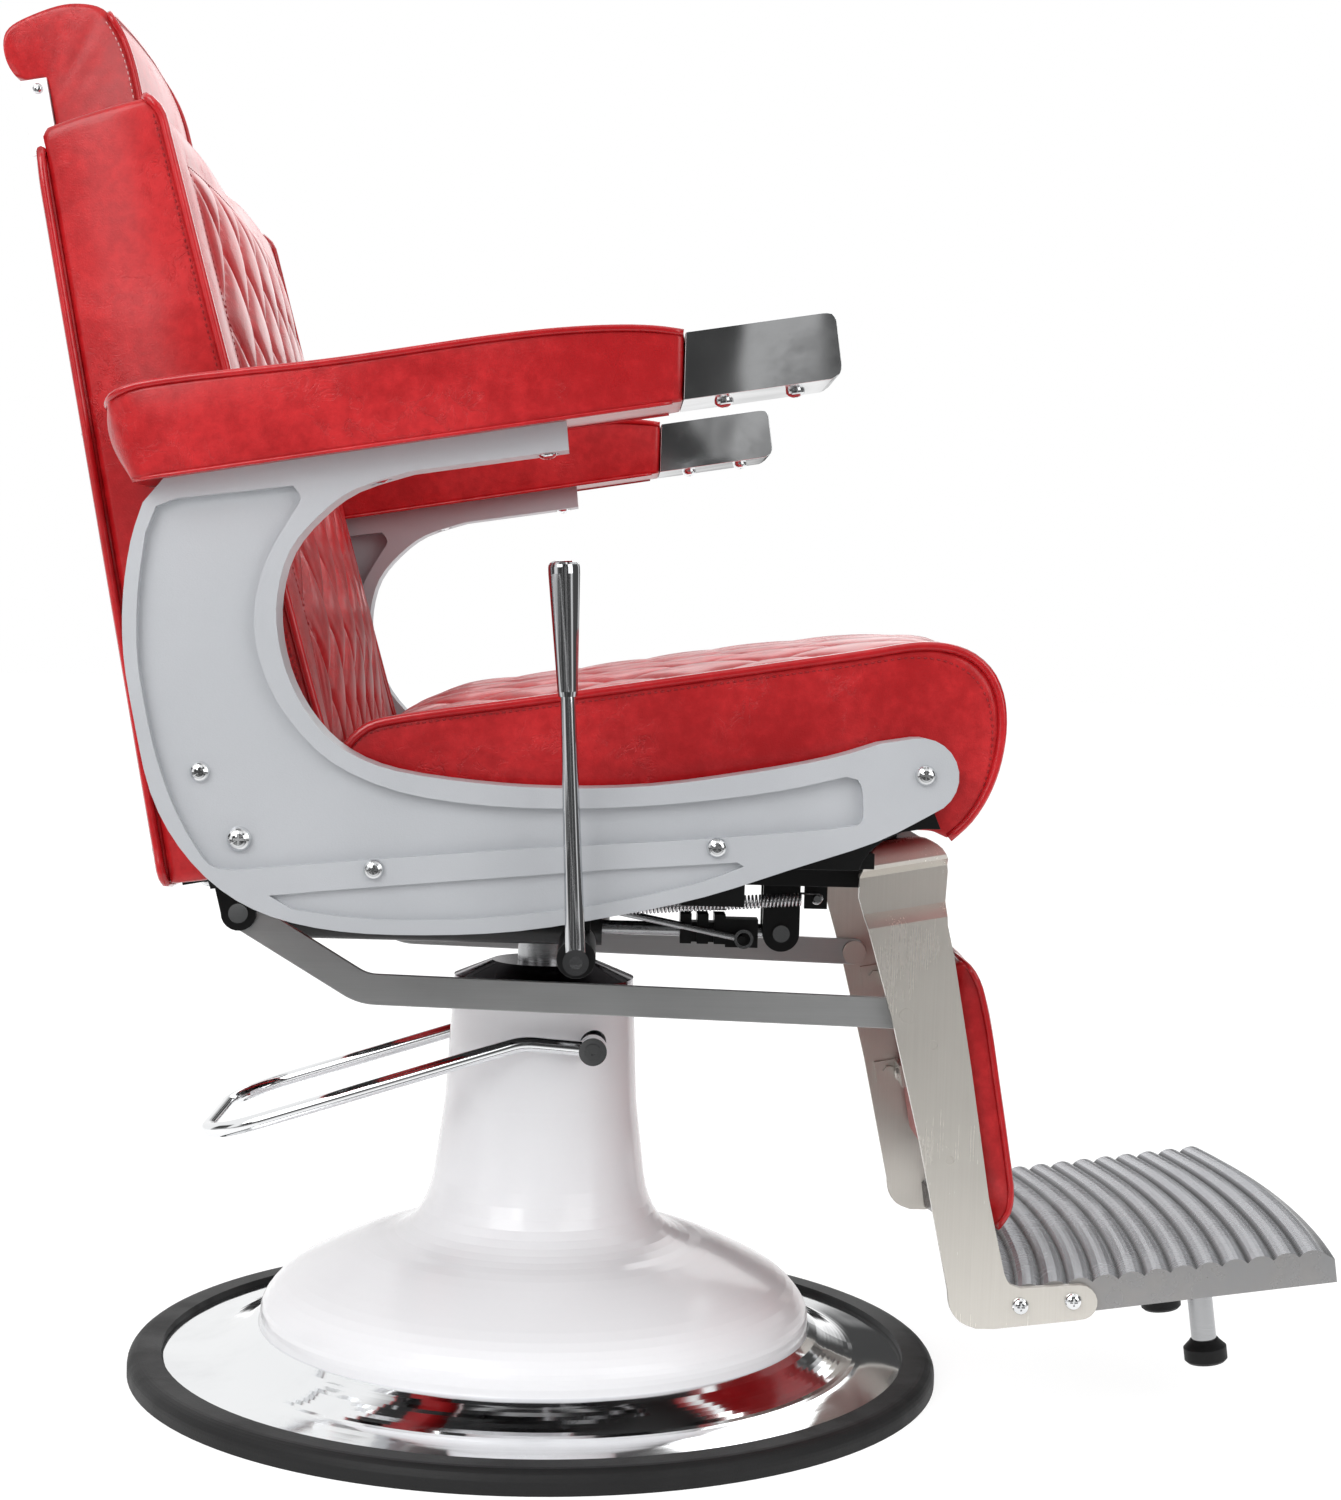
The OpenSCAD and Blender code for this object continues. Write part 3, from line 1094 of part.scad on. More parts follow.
post_u = 152;
post_y = 72;
post_l = 84;
foot_h = 17;
module bumper_posts() seat_level() color("#c4c6c9") along_plate() for (s = [-1, 1])
    translate([post_u, s*post_y, -post_l - rib_h - 8]) cylinder(d = post_d, h = post_l);
module bumper_feet() seat_level() color("#161617") along_plate() for (s = [-1, 1])
    translate([post_u, s*post_y, -post_l - rib_h - 8 - 5]) difference() {
        rotate_extrude() polygon([[0, 0], [foot_d/2 - 2, 0], [foot_d/2, 2], [foot_d/2, foot_h - 6],
            [foot_d/2 - 4, foot_h - 2], [post_d/2 + 1, foot_h], [0, foot_h]]);
        translate([0, 0, 5]) cylinder(d = post_d + 0.04, h = foot_h);
    }

// The calf pad lies along the legs' front edge
calf_tilt = 10;
calf_foot = [300, 148]; // lower rear corner of the calf board
calf_l = 180;
calf_board_t = 12;
calf_y = leg_in - 5;
module along_calf() translate([calf_foot.x, 0, calf_foot.y]) rotate([0, -calf_tilt, 0]) children();
function from_calf(p) = calf_foot + [p.x*cos(calf_tilt) - p.y*sin(calf_tilt),
    p.x*sin(calf_tilt) + p.y*cos(calf_tilt)];
module calf_board() seat_level() color("#b98d5a") along_calf() difference() {
    block(0, calf_board_t, -calf_y + 6, calf_y - 6, 8, calf_l - 8);
    for (z = bracket_z) both() translate([-cut, calf_y - 18, z]) rotate([0, 90, 0])
        cylinder(d = 6.04, h = calf_board_t + 2*cut);
}
calf_chain = smooth([[calf_board_t + 4, -4], [24, 2], [30, 16], [31, 50], [31, 90], [31, 130],
    [29, 165], [24, calf_l - 3], [calf_board_t + 4, calf_l]], 1);
module calf_pad() seat_level() color("#c1272d") along_calf() {
    last = len(calf_chain) - 1;
    mirror([1, 0, 0]) pad_skin(pad_ribs([for (p = calf_chain) [-p.x, p.y]],
        level([-calf_board_t - soft, 2], [-calf_board_t - soft, calf_l - 4], last + 1),
        calf_y, 10, 3, [for (i = [0:last]) between(i, 1, last - 1) ? 16 : 8],
        [for (i = [0:last]) 0], [for (i = [0:last]) 0]));
}
bracket_z = [50, 130];
function bracket_bolt(z) = from_calf([-9, z]);
module calf_brackets() seat_level() color("#8f9196") both() for (z = bracket_z) {
    along_calf() difference() {
        union() {
            block(-3, 0, calf_y - 32, leg_in, z - 9, z + 9);
            block(-20, 0, leg_in - 3, leg_in, z - 9, z + 9);
        }
        translate([-10, calf_y - 18, z]) rotate([0, 90, 0]) cylinder(d = 6.04, h = 20);
        translate([-9, leg_in - 10, z]) rotate([-90, 0, 0]) cylinder(d = 6.04, h = 20);
    }
    along_calf() translate([-3, calf_y - 18, z]) rotate([0, -90, 0]) dome_screw(10, 6, calf_board_t);
    p = bracket_bolt(z);
    cross_bar(p, 3, leg_in - 6, leg_out - 0.5);
    cross_bar(p, 5, leg_in - 7, leg_in - 3, $fn = 6);
}

// ---------- assembly ----------

base_ring();
base_plate();
base_disc();
pedestal_cover();
column_cap();
pump_cylinder();
base_bolts();
pump_shaft();
pump_lever();
pump_screws();
pump_plunger();
piston();
swivel_hub();
under_frame();
seat_board();
seat_cushion();
side_frame_right();
side_frame_left();
frame_screws();
arm_board_right();
arm_board_left();
arm_pad_right();
arm_pad_left();
arm_cap_right();
arm_cap_left();
arm_screws();
back_pivots();
leg_pivots();
lock_valve();
lock_pins();
lock_rod();
return_spring();
lock_cylinder();
release_rod();
recline_lever();
lever_grip();
lever_shaft();
back_frame();
back_board();
back_cushion();
back_panel();
back_screws();
headrest_guide();
rear_link_pins();
headrest_bar();
headrest_board();
headrest_cushion();
headrest_screws();
leg_right();
leg_left();
footplate();
footplate_screws();
calf_board();
calf_pad();
calf_brackets();
bumper_posts();
bumper_feet();
front_link_pins();
link_right();
link_left();
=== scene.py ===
import math

import bmesh
import bpy
import numpy as np
from mathutils import Matrix, Vector


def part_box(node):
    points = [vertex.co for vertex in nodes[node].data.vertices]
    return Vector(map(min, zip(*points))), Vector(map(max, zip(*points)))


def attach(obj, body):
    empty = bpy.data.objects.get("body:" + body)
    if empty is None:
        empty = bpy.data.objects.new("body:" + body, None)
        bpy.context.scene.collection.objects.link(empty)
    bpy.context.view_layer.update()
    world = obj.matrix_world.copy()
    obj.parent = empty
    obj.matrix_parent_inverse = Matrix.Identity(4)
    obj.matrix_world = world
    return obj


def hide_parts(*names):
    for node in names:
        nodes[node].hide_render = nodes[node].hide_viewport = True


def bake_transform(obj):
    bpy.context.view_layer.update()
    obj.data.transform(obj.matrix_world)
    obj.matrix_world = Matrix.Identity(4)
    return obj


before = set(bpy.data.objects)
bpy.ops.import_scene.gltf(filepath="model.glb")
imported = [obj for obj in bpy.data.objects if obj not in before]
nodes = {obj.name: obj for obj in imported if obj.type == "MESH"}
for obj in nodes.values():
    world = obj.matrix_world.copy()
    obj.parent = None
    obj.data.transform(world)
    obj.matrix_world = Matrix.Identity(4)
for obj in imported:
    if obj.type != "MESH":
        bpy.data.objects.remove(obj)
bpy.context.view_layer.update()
scene = bpy.context.scene
mm = 0.001


# Shader building blocks

def put(tree, kind, **settings):
    node = tree.nodes.new(kind)
    for key, value in settings.items():
        setattr(node, key, value)
    return node


def feed(tree, value, socket):
    # A socket is linked, anything else is set on the input itself
    if isinstance(value, bpy.types.NodeSocket):
        tree.links.new(value, socket)
    elif value is not None:
        socket.default_value = value


def calc(tree, operation, a, b=None, clamp=False):
    node = put(tree, "ShaderNodeMath", operation=operation, use_clamp=clamp)
    feed(tree, a, node.inputs[0])
    feed(tree, b, node.inputs[1])
    return node.outputs[0]


def weighted(tree, *parts):
    # The sum of values, each times its weight
    total = None
    for value, weight in parts:
        part = calc(tree, "MULTIPLY", value, weight)
        total = part if total is None else calc(tree, "ADD", total, part)
    return total


def remap(tree, value, low, high, toLow, toHigh):
    node = put(tree, "ShaderNodeMapRange", interpolation_type="SMOOTHSTEP")
    for socket, v in zip(node.inputs, (value, low, high, toLow, toHigh)):
        feed(tree, v, socket)
    return node.outputs[0]


def blendColor(tree, share, a, b):
    node = put(tree, "ShaderNodeMix", data_type="RGBA")
    feed(tree, share, node.inputs[0])
    feed(tree, a, node.inputs[6])
    feed(tree, b, node.inputs[7])
    return node.outputs[2]


def noise(tree, where, scale, detail=2.0, roughness=0.5, distortion=0.0):
    node = put(tree, "ShaderNodeTexNoise")
    feed(tree, where, node.inputs["Vector"])
    for key, v in (("Scale", scale), ("Detail", detail), ("Roughness", roughness),
                   ("Distortion", distortion)):
        feed(tree, v, node.inputs[key])
    return node.outputs[0]


def cells(tree, where, scale, feature="DISTANCE_TO_EDGE"):
    node = put(tree, "ShaderNodeTexVoronoi", feature=feature)
    feed(tree, where, node.inputs["Vector"])
    feed(tree, scale, node.inputs["Scale"])
    return node.outputs[0]


def stretch(tree, where, factors):
    node = put(tree, "ShaderNodeVectorMath", operation="MULTIPLY")
    feed(tree, where, node.inputs[0])
    feed(tree, factors, node.inputs[1])
    return node.outputs[0]


def warp(tree, where, scale, amount):
    shift = put(tree, "ShaderNodeTexNoise")
    feed(tree, where, shift.inputs["Vector"])
    shift.inputs["Scale"].default_value = scale
    moved = put(tree, "ShaderNodeVectorMath", operation="MULTIPLY_ADD")
    feed(tree, shift.outputs[1], moved.inputs[0])
    moved.inputs[1].default_value = (amount,) * 3
    feed(tree, where, moved.inputs[2])
    return moved.outputs[0]


def newGroup(name, inputs, outputs):
    tree = bpy.data.node_groups.new(name, "ShaderNodeTree")
    for label, value in inputs.items():
        vector = isinstance(value, tuple)
        socket = tree.interface.new_socket(
            name=label, in_out="INPUT",
            socket_type="NodeSocketVector" if vector else "NodeSocketFloat")
        socket.default_value = value
    for label in outputs:
        tree.interface.new_socket(name=label, in_out="OUTPUT", socket_type="NodeSocketFloat")
    return tree, put(tree, "NodeGroupInput").outputs, put(tree, "NodeGroupOutput").inputs


def useGroup(tree, group, **values):
    node = put(tree, "ShaderNodeGroup", node_tree=group)
    for key, value in values.items():
        feed(tree, value, node.inputs[key])
    return node.outputs


def objectPlace(tree):
    return put(tree, "ShaderNodeTexCoord").outputs["Object"]


def axes(tree, where):
    node = put(tree, "ShaderNodeSeparateXYZ")
    feed(tree, where, node.inputs[0])
    return node.outputs


def seenDirectly(tree):
    # 1 for the camera and for what polished metal and glass show
    path = put(tree, "ShaderNodeLightPath").outputs
    return calc(tree, "MAXIMUM", path["Is Camera Ray"],
                calc(tree, "MAXIMUM", path["Is Glossy Ray"], path["Is Transmission Ray"]))


def mixShaders(tree, share, a, b):
    mix = put(tree, "ShaderNodeMixShader")
    for socket, value in zip(mix.inputs, (share, a, b)):
        feed(tree, value, socket)
    return mix.outputs[0]


# The crease share of the colour is a painted highlight along the crinkles
leatherLook = {
    "bend": (90.0, 0.006), "foldBend": (22.0, 0.02), "foldWidth": 0.03, "patches": 14.0,
    "patchSpan": (0.5, 0.7), "fine": 900.0, "swell": 11.0, "spots": 110.0, "shadeSpan": (0.36, 0.66),
    "pebbleRise": 0.1, "fineRise": 0.05, "creaseRise": -0.8, "swellRise": 14.0, "creasePaintedHighlight": 0.15}


def buildLeatherGrain(look):
    # Pebbled vinyl with soft creases and a cloudy shade; the creases also lighten the colour as a
    # painted highlight
    tree, given, out = newGroup("leatherGrain", {"Pebble": 380.0, "Crease": 30.0, "Cloud": 7.0},
                                ["Height", "Shade", "Gloss"])
    place = objectPlace(tree)
    bent = warp(tree, place, *look["bend"])
    pebble = remap(tree, cells(tree, bent, given["Pebble"]), 0.0, 0.35, 0.0, 1.0)
    folds = noise(tree, warp(tree, place, *look["foldBend"]), given["Crease"], 5.0, 0.62, 0.6)
    ridge = calc(tree, "ABSOLUTE", calc(tree, "SUBTRACT", folds, 0.5))
    patch = remap(tree, noise(tree, place, look["patches"], 3.0), *look["patchSpan"], 0.0, 1.0)
    crease = calc(tree, "MULTIPLY", remap(tree, ridge, 0.0, look["foldWidth"], 1.0, 0.0), patch)
    fine = noise(tree, place, look["fine"], 2.0)
    swell = noise(tree, place, look["swell"], 1.5)
    feed(tree, weighted(tree, (pebble, look["pebbleRise"]), (fine, look["fineRise"]),
                        (crease, look["creaseRise"]), (swell, look["swellRise"])), out["Height"])
    cloud = noise(tree, bent, given["Cloud"], 4.0, 0.55)
    spots = noise(tree, place, look["spots"], 4.0, 0.65)
    shade = weighted(tree, (cloud, 0.6), (spots, 0.4))
    shade = remap(tree, shade, *look["shadeSpan"], 0.0, 1.0)
    # Crease lines lighten the base colour: a painted highlight along the crinkles
    feed(tree, calc(tree, "ADD", shade, calc(tree, "MULTIPLY", crease, look["creasePaintedHighlight"]), True),
         out["Shade"])
    feed(tree, cloud, out["Gloss"])
    return tree


def buildBrushedLines():
    # Fine parallel lines; Along squeezes the pattern where a line doesn't change
    tree, given, out = newGroup("brushedLines", {"Along": (900.0, 12.0, 900.0)}, ["Height", "Gloss"])
    place = stretch(tree, objectPlace(tree), given["Along"])
    lines = noise(tree, place, 1.0, 3.0, 0.65)
    broad = noise(tree, objectPlace(tree), 14.0, 3.0)
    feed(tree, lines, out["Height"])
    feed(tree, weighted(tree, (lines, 0.6), (broad, 0.4)), out["Gloss"])
    return tree


def buildHandling():
    # Faint smears and specks that dull a polished skin in places
    tree, given, out = newGroup("handling", {"Smear": 9.0, "Speck": 260.0}, ["Smear", "Speck", "Wave"])
    place = objectPlace(tree)
    smear = noise(tree, warp(tree, place, 6.0, 0.05), given["Smear"], 6.0, 0.6)
    speck = cells(tree, place, given["Speck"], "F1")
    feed(tree, remap(tree, smear, 0.45, 0.75, 0.0, 1.0), out["Smear"])
    feed(tree, remap(tree, speck, 0.03, 0.1, 1.0, 0.0), out["Speck"])
    feed(tree, noise(tree, place, 16.0, 1.0), out["Wave"])
    return tree


def buildCastSkin():
    # The even, slightly pitted skin of a casting, a coat of paint or rubber
    tree, given, out = newGroup("castSkin", {"Grain": 1400.0, "Pit": 420.0}, ["Height", "Shade"])
    place = objectPlace(tree)
    grain = noise(tree, place, given["Grain"], 3.0, 0.6)
    pits = remap(tree, cells(tree, place, given["Pit"], "F1"), 0.0, 0.16, 0.0, 1.0)
    broad = noise(tree, place, 6.0, 3.0)
    feed(tree, weighted(tree, (grain, 0.7), (pits, 0.3)), out["Height"])
    feed(tree, weighted(tree, (grain, 0.35), (broad, 0.65)), out["Shade"])
    return tree


leatherGrain = buildLeatherGrain(leatherLook)
brushedLines = buildBrushedLines()
handling = buildHandling()
castSkin = buildCastSkin()


def newMaterial(name, values):
    material = bpy.data.materials.new(name)
    material.use_nodes = True
    shader = material.node_tree.nodes["Principled BSDF"]
    for socket, value in values.items():
        shader.inputs[socket].default_value = value
    return material, material.node_tree, shader.inputs


def addBump(tree, shader, height, depth):
    bump = put(tree, "ShaderNodeBump")
    bump.inputs["Strength"].default_value = 1.0
    bump.inputs["Distance"].default_value = depth
    feed(tree, height, bump.inputs["Height"])
    feed(tree, bump.outputs[0], shader["Normal"])


def vinylMaterial(name, look):
    material, tree, shader = newMaterial(name, {
        "Specular IOR Level": look["shine"], "Coat Weight": look["coat"],
        "Coat Roughness": look["coatRough"]})
    grain = useGroup(tree, leatherGrain, Pebble=look["pebble"], Crease=look["crease"])
    feed(tree, blendColor(tree, grain["Shade"], look["deep"], look["bright"]), shader["Base Color"])
    feed(tree, remap(tree, grain["Gloss"], 0.2, 0.8, *look["rough"]), shader["Roughness"])
    addBump(tree, shader, grain["Height"], look["depth"])
    return material


def paintMaterial(name, look):
    material, tree, shader = newMaterial(name, {
        "Metallic": look.get("metal", 0.0), "Coat Weight": look.get("coat", 0.0),
        "Coat Roughness": look.get("coatRough", 0.05), "Specular IOR Level": look.get("shine", 0.5)})
    skin = useGroup(tree, castSkin, Grain=look.get("grain", 1400.0), Pit=look.get("pit", 420.0))
    touch = useGroup(tree, handling)
    feed(tree, blendColor(tree, skin["Shade"], look["deep"], look["bright"]), shader["Base Color"])
    worn = weighted(tree, (skin["Shade"], 0.5), (touch["Smear"], 0.5))
    feed(tree, remap(tree, worn, 0.1, 0.9, *look["rough"]), shader["Roughness"])
    addBump(tree, shader, skin["Height"], look["depth"])
    return material


def polishedMaterial(name, look):
    material, tree, shader = newMaterial(name, {"Metallic": 1.0, "Specular IOR Level": 0.5})
    touch = useGroup(tree, handling)
    feed(tree, blendColor(tree, touch["Smear"], look["bright"], look["deep"]), shader["Base Color"])
    dull = calc(tree, "MAXIMUM", calc(tree, "MULTIPLY", touch["Smear"], 0.8), touch["Speck"])
    feed(tree, remap(tree, dull, 0.0, 1.0, *look["rough"]), shader["Roughness"])
    addBump(tree, shader, touch["Wave"], look["wave"])
    return material


def brushedMaterial(name, look):
    material, tree, shader = newMaterial(name, {
        "Metallic": look.get("metal", 1.0), "Anisotropic": look.get("anisotropic", 0.3)})
    lines = useGroup(tree, brushedLines, Along=look["along"])
    touch = useGroup(tree, handling)
    feed(tree, blendColor(tree, lines["Gloss"], look["deep"], look["bright"]), shader["Base Color"])
    worn = weighted(tree, (lines["Gloss"], 0.7), (touch["Smear"], 0.3))
    feed(tree, remap(tree, worn, 0.15, 0.8, *look["rough"]), shader["Roughness"])
    addBump(tree, shader, lines["Height"], look["depth"])
    return material


def rgb(r, g, b):
    # Display colour from 0 to 255 as the linear colour that a shader takes
    return tuple((c / 255 / 12.92 if c <= 10 else ((c / 255 + 0.055) / 1.055) ** 2.4)
                 for c in (r, g, b)) + (1.0,)


vinylLook = {"deep": rgb(158, 14, 20), "bright": rgb(196, 34, 38), "rough": (0.26, 0.42),
             "shine": 0.28, "coat": 0.3, "coatRough": 0.16, "pebble": 520.0, "crease": 62.0,
             "depth": 0.0004}
pipingLook = {**vinylLook, "deep": rgb(164, 18, 24), "bright": rgb(192, 30, 36),
              "rough": (0.14, 0.24), "coat": 0.6, "depth": 0.0001}
threadLook = {"deep": rgb(136, 14, 22), "bright": rgb(176, 40, 46), "rough": (0.5, 0.7),
              "depth": 0.0002, "grain": 2400.0}
redVinyl = vinylMaterial("redVinyl", vinylLook)
pipingVinyl = vinylMaterial("pipingVinyl", pipingLook)
redThread = paintMaterial("redThread", threadLook)
paleThread = paintMaterial("paleThread", {
    **threadLook, "deep": rgb(214, 150, 152), "bright": rgb(240, 200, 198)})
castGrey = paintMaterial("castGrey", {
    "deep": rgb(174, 177, 181), "bright": rgb(192, 194, 198), "rough": (0.34, 0.5), "metal": 0.2,
    "depth": 0.00012, "grain": 1100.0, "pit": 380.0})
whiteEnamel = paintMaterial("whiteEnamel", {
    "deep": rgb(242, 242, 245), "bright": rgb(248, 248, 250), "rough": (0.16, 0.26), "coat": 0.15,
    "coatRough": 0.05, "shine": 0.3, "depth": 0.00003, "grain": 300.0, "pit": 60.0})
blackEnamel = paintMaterial("blackEnamel", {
    "deep": rgb(9, 9, 10), "bright": rgb(16, 16, 17), "rough": (0.34, 0.5), "coat": 0.1,
    "coatRough": 0.2, "shine": 0.35, "depth": 0.0001, "grain": 700.0})
baseRubber = paintMaterial("baseRubber", {
    "deep": rgb(12, 12, 13), "bright": rgb(24, 24, 25), "rough": (0.5, 0.72), "depth": 0.00025,
    "grain": 900.0, "shine": 0.35})
feetRubber = paintMaterial("feetRubber", {
    "deep": rgb(7, 7, 8), "bright": rgb(14, 14, 15), "rough": (0.5, 0.7), "depth": 0.0002,
    "shine": 0.3})
polishedChrome = polishedMaterial("polishedChrome", {
    "bright": (0.86, 0.87, 0.88, 1), "deep": (0.78, 0.79, 0.8, 1), "rough": (0.06, 0.15),
    "wave": 0.0005})
# Polished chrome made darker: painted shade for the dark reflections on the lever and its grip
leverChromePaintedDark = polishedMaterial("leverChromePaintedDark", {
    "bright": rgb(196, 197, 199), "deep": rgb(176, 177, 179), "rough": (0.06, 0.14), "wave": 0.0004})
darkChrome = polishedMaterial("darkChrome", {
    "bright": rgb(118, 112, 118), "deep": rgb(98, 94, 100), "rough": (0.1, 0.24), "wave": 0.0003})
screwSteel = polishedMaterial("screwSteel", {
    "bright": (0.8, 0.81, 0.82, 1), "deep": (0.62, 0.63, 0.64, 1), "rough": (0.08, 0.24),
    "wave": 0.0001})
springSteel = polishedMaterial("springSteel", {
    "bright": rgb(214, 214, 216), "deep": rgb(170, 170, 172), "rough": (0.16, 0.34), "wave": 0.0001})
machinedSteel = brushedMaterial("machinedSteel", {
    "bright": rgb(184, 185, 186), "deep": rgb(150, 151, 153), "rough": (0.18, 0.36),
    "along": (30.0, 30.0, 1200.0), "depth": 0.00004})
baseSteel = brushedMaterial("baseSteel", {
    "bright": rgb(112, 113, 116), "deep": rgb(84, 85, 88), "rough": (0.4, 0.6),
    "along": (700.0, 20.0, 700.0), "depth": 0.00005})
linkSteel = brushedMaterial("linkSteel", {
    "bright": rgb(182, 183, 183), "deep": rgb(158, 159, 159), "rough": (0.3, 0.46), "metal": 0.6,
    "along": (14.0, 700.0, 1100.0), "depth": 0.00005})
legSteel = brushedMaterial("legSteel", {
    "bright": rgb(222, 218, 210), "deep": rgb(200, 196, 189), "rough": (0.2, 0.34), "metal": 0.5,
    "along": (900.0, 900.0, 12.0), "depth": 0.00001, "anisotropic": 0.4})


def buildPlyMaterial():
    # Pale layered wood for the boards that the covers leave open
    material, tree, shader = newMaterial("plywood", {"Roughness": 0.6})
    place = objectPlace(tree)
    rings = noise(tree, stretch(tree, place, (18.0, 3.0, 420.0)), 1.0, 4.0, 0.6, 0.4)
    pores = noise(tree, stretch(tree, place, (500.0, 60.0, 500.0)), 1.0, 3.0)
    tone = weighted(tree, (rings, 0.7), (pores, 0.3))
    feed(tree, blendColor(tree, remap(tree, tone, 0.35, 0.65, 0.0, 1.0),
                          rgb(150, 110, 66), rgb(198, 160, 108)), shader["Base Color"])
    addBump(tree, shader, pores, 0.0003)
    return material


# The groove colour is painted shade in the recesses between the ribs
footplateLook = {"rear": (0.327, 0.0, 0.109), "tilt": 8.0, "paintedGrooveShade": rgb(52, 53, 56),
                 "crest": rgb(150, 152, 156), "side": rgb(158, 154, 149), "ribHeight": 0.004,
                 "ribSpan": (0.92, 0.35), "topSpan": (0.15, 0.4), "along": (60.0, 900.0, 60.0)}


def buildPlateMaterial(look):
    # Bright crests, and grooves darkened with painted shade, by the height above the plate's own level
    material, tree, shader = newMaterial("ribbedAluminium", {"Metallic": 0.6, "Anisotropic": 0.3})
    parts = axes(tree, objectPlace(tree))
    tilt = math.radians(look["tilt"])
    across = calc(tree, "MULTIPLY", calc(tree, "SUBTRACT", parts[0], look["rear"][0]), -math.sin(tilt))
    above = calc(tree, "MULTIPLY", calc(tree, "SUBTRACT", parts[2], look["rear"][2]), math.cos(tilt))
    level = calc(tree, "ADD", across, above)
    low, high = (-look["ribHeight"] * share for share in look["ribSpan"])
    crest = remap(tree, level, low, high, 0.0, 1.0)
    facing = axes(tree, put(tree, "ShaderNodeTexCoord").outputs["Normal"])
    top = remap(tree, facing[2], *look["topSpan"], 0.0, 1.0)
    lines = useGroup(tree, brushedLines, Along=look["along"])
    touch = useGroup(tree, handling)
    # Low places take the dark colour: painted shade in the grooves
    ribs = blendColor(tree, crest, look["paintedGrooveShade"], look["crest"])
    grain = blendColor(tree, lines["Gloss"], look["side"], look["crest"])
    feed(tree, blendColor(tree, top, grain, ribs), shader["Base Color"])
    worn = calc(tree, "ADD", lines["Gloss"], calc(tree, "MULTIPLY", touch["Smear"], 0.3))
    feed(tree, remap(tree, worn, 0.3, 1.1, 0.2, 0.46), shader["Roughness"])
    addBump(tree, shader, lines["Height"], 0.00002)
    return material


plywood = buildPlyMaterial()
ribbedAluminium = buildPlateMaterial(footplateLook)
slotMaterials = {
    "base_rubber": baseRubber, "base_steel": baseSteel, "polished_chrome": polishedChrome,
    "white_enamel": whiteEnamel, "dark_chrome": darkChrome, "machined_steel": machinedSteel,
    "black_enamel": blackEnamel, "plywood": plywood, "red_vinyl": redVinyl,
    "cast_grey": castGrey, "screw_steel": screwSteel, "link_steel": linkSteel,
    "leg_steel": legSteel, "plate_alu": ribbedAluminium, "spring_steel": springSteel,
    "feet_rubber": feetRubber}
print("materials:", len(bpy.data.materials))


# Edges of the metal parts: width of the rounding in millimetres, by node
edgeRounding = {
    "side_frame_right": 3.0, "side_frame_left": 3.0, "arm_cap_right": 2.0, "arm_cap_left": 2.0,
    "leg_right": 0.9, "leg_left": 0.9, "link_right": 0.8, "link_left": 0.8,
    "headrest_guide": 0.6, "headrest_bar": 0.8, "under_frame": 0.8, "back_frame": 0.8,
    "swivel_hub": 0.8, "lock_valve": 0.6, "calf_brackets": 0.4, "seat_board": 1.5}
roundingLook = {"weld": 0.00001, "flat": 0.3, "sharp": 35, "wide": 1.0}

# Nodes whose finish differs from the rest of their slot; the lever and grip chrome is darkened as
# painted shade
ownMaterials = {"seat_board": blackEnamel, "recline_lever": leverChromePaintedDark, "lever_grip": leverChromePaintedDark,
                "front_link_pins": legSteel, "calf_brackets": legSteel}


def modify(piece, name, kind, **settings):
    modifier = piece.modifiers.new(name, kind)
    for key, value in settings.items():
        setattr(modifier, key, value)


def dressNode(name, node):
    mesh = node.data
    old = mesh.materials[0].name if mesh.materials else ""
    look = ownMaterials.get(name) or slotMaterials[old.split(".")[0]]
    mesh.materials.clear()
    mesh.materials.append(look)
    mesh.polygons.foreach_set("material_index", [0] * len(mesh.polygons))
    width = edgeRounding.get(name, 0.0)
    if width:
        for label in ("custom_normal", "sharp_face", "sharp_edge"):
            if label in mesh.attributes:
                mesh.attributes.remove(mesh.attributes[label])
        modify(node, "weld", "WELD", merge_threshold=roundingLook["weld"])
        modify(node, "flatten", "DECIMATE", decimate_type="DISSOLVE",
               angle_limit=math.radians(roundingLook["flat"]))
        modify(node, "edges", "BEVEL", width=width * mm, limit_method="ANGLE",
               segments=3 if width > roundingLook["wide"] else 2,
               angle_limit=math.radians(roundingLook["sharp"]), harden_normals=True,
               miter_outer="MITER_ARC")


for name, node in nodes.items():
    dressNode(name, node)
print("CAD pieces dressed:", len(nodes))


# Soft pieces

def spline(points, steps=8):
    # A smooth run through the points
    p = [np.array(v, float) for v in points]
    run = []
    for i in range(len(p) - 1):
        a, b, c, d = p[max(i - 1, 0)], p[i], p[i + 1], p[min(i + 2, len(p) - 1)]
        for s in range(steps):
            t = s / steps
            run.append(0.5 * (2 * b + (c - a) * t + (2 * a - 5 * b + 4 * c - d) * t * t
                              + (3 * b - a - 3 * c + d) * t ** 3))
    return np.array(run + [p[-1]])


def evenly(points, count=None, cell=None, at=None):
    # Points at even distances along a line, or at the given shares of its length
    points = np.array(points, float)
    walked = np.concatenate([[0], np.cumsum(np.linalg.norm(np.diff(points, axis=0), axis=1))])
    if at is None:
        count = count or max(2, round(walked[-1] / cell) + 1)
        at = np.linspace(0, 1, count)
    stops = np.asarray(at) * walked[-1]
    return np.stack([np.interp(stops, walked, points[:, k]) for k in range(points.shape[1])], 1)


def outward(line):
    way = np.gradient(line, axis=0)
    way /= np.linalg.norm(way, axis=1)[:, None]
    return np.stack([-way[:, 1], way[:, 0]], 1)


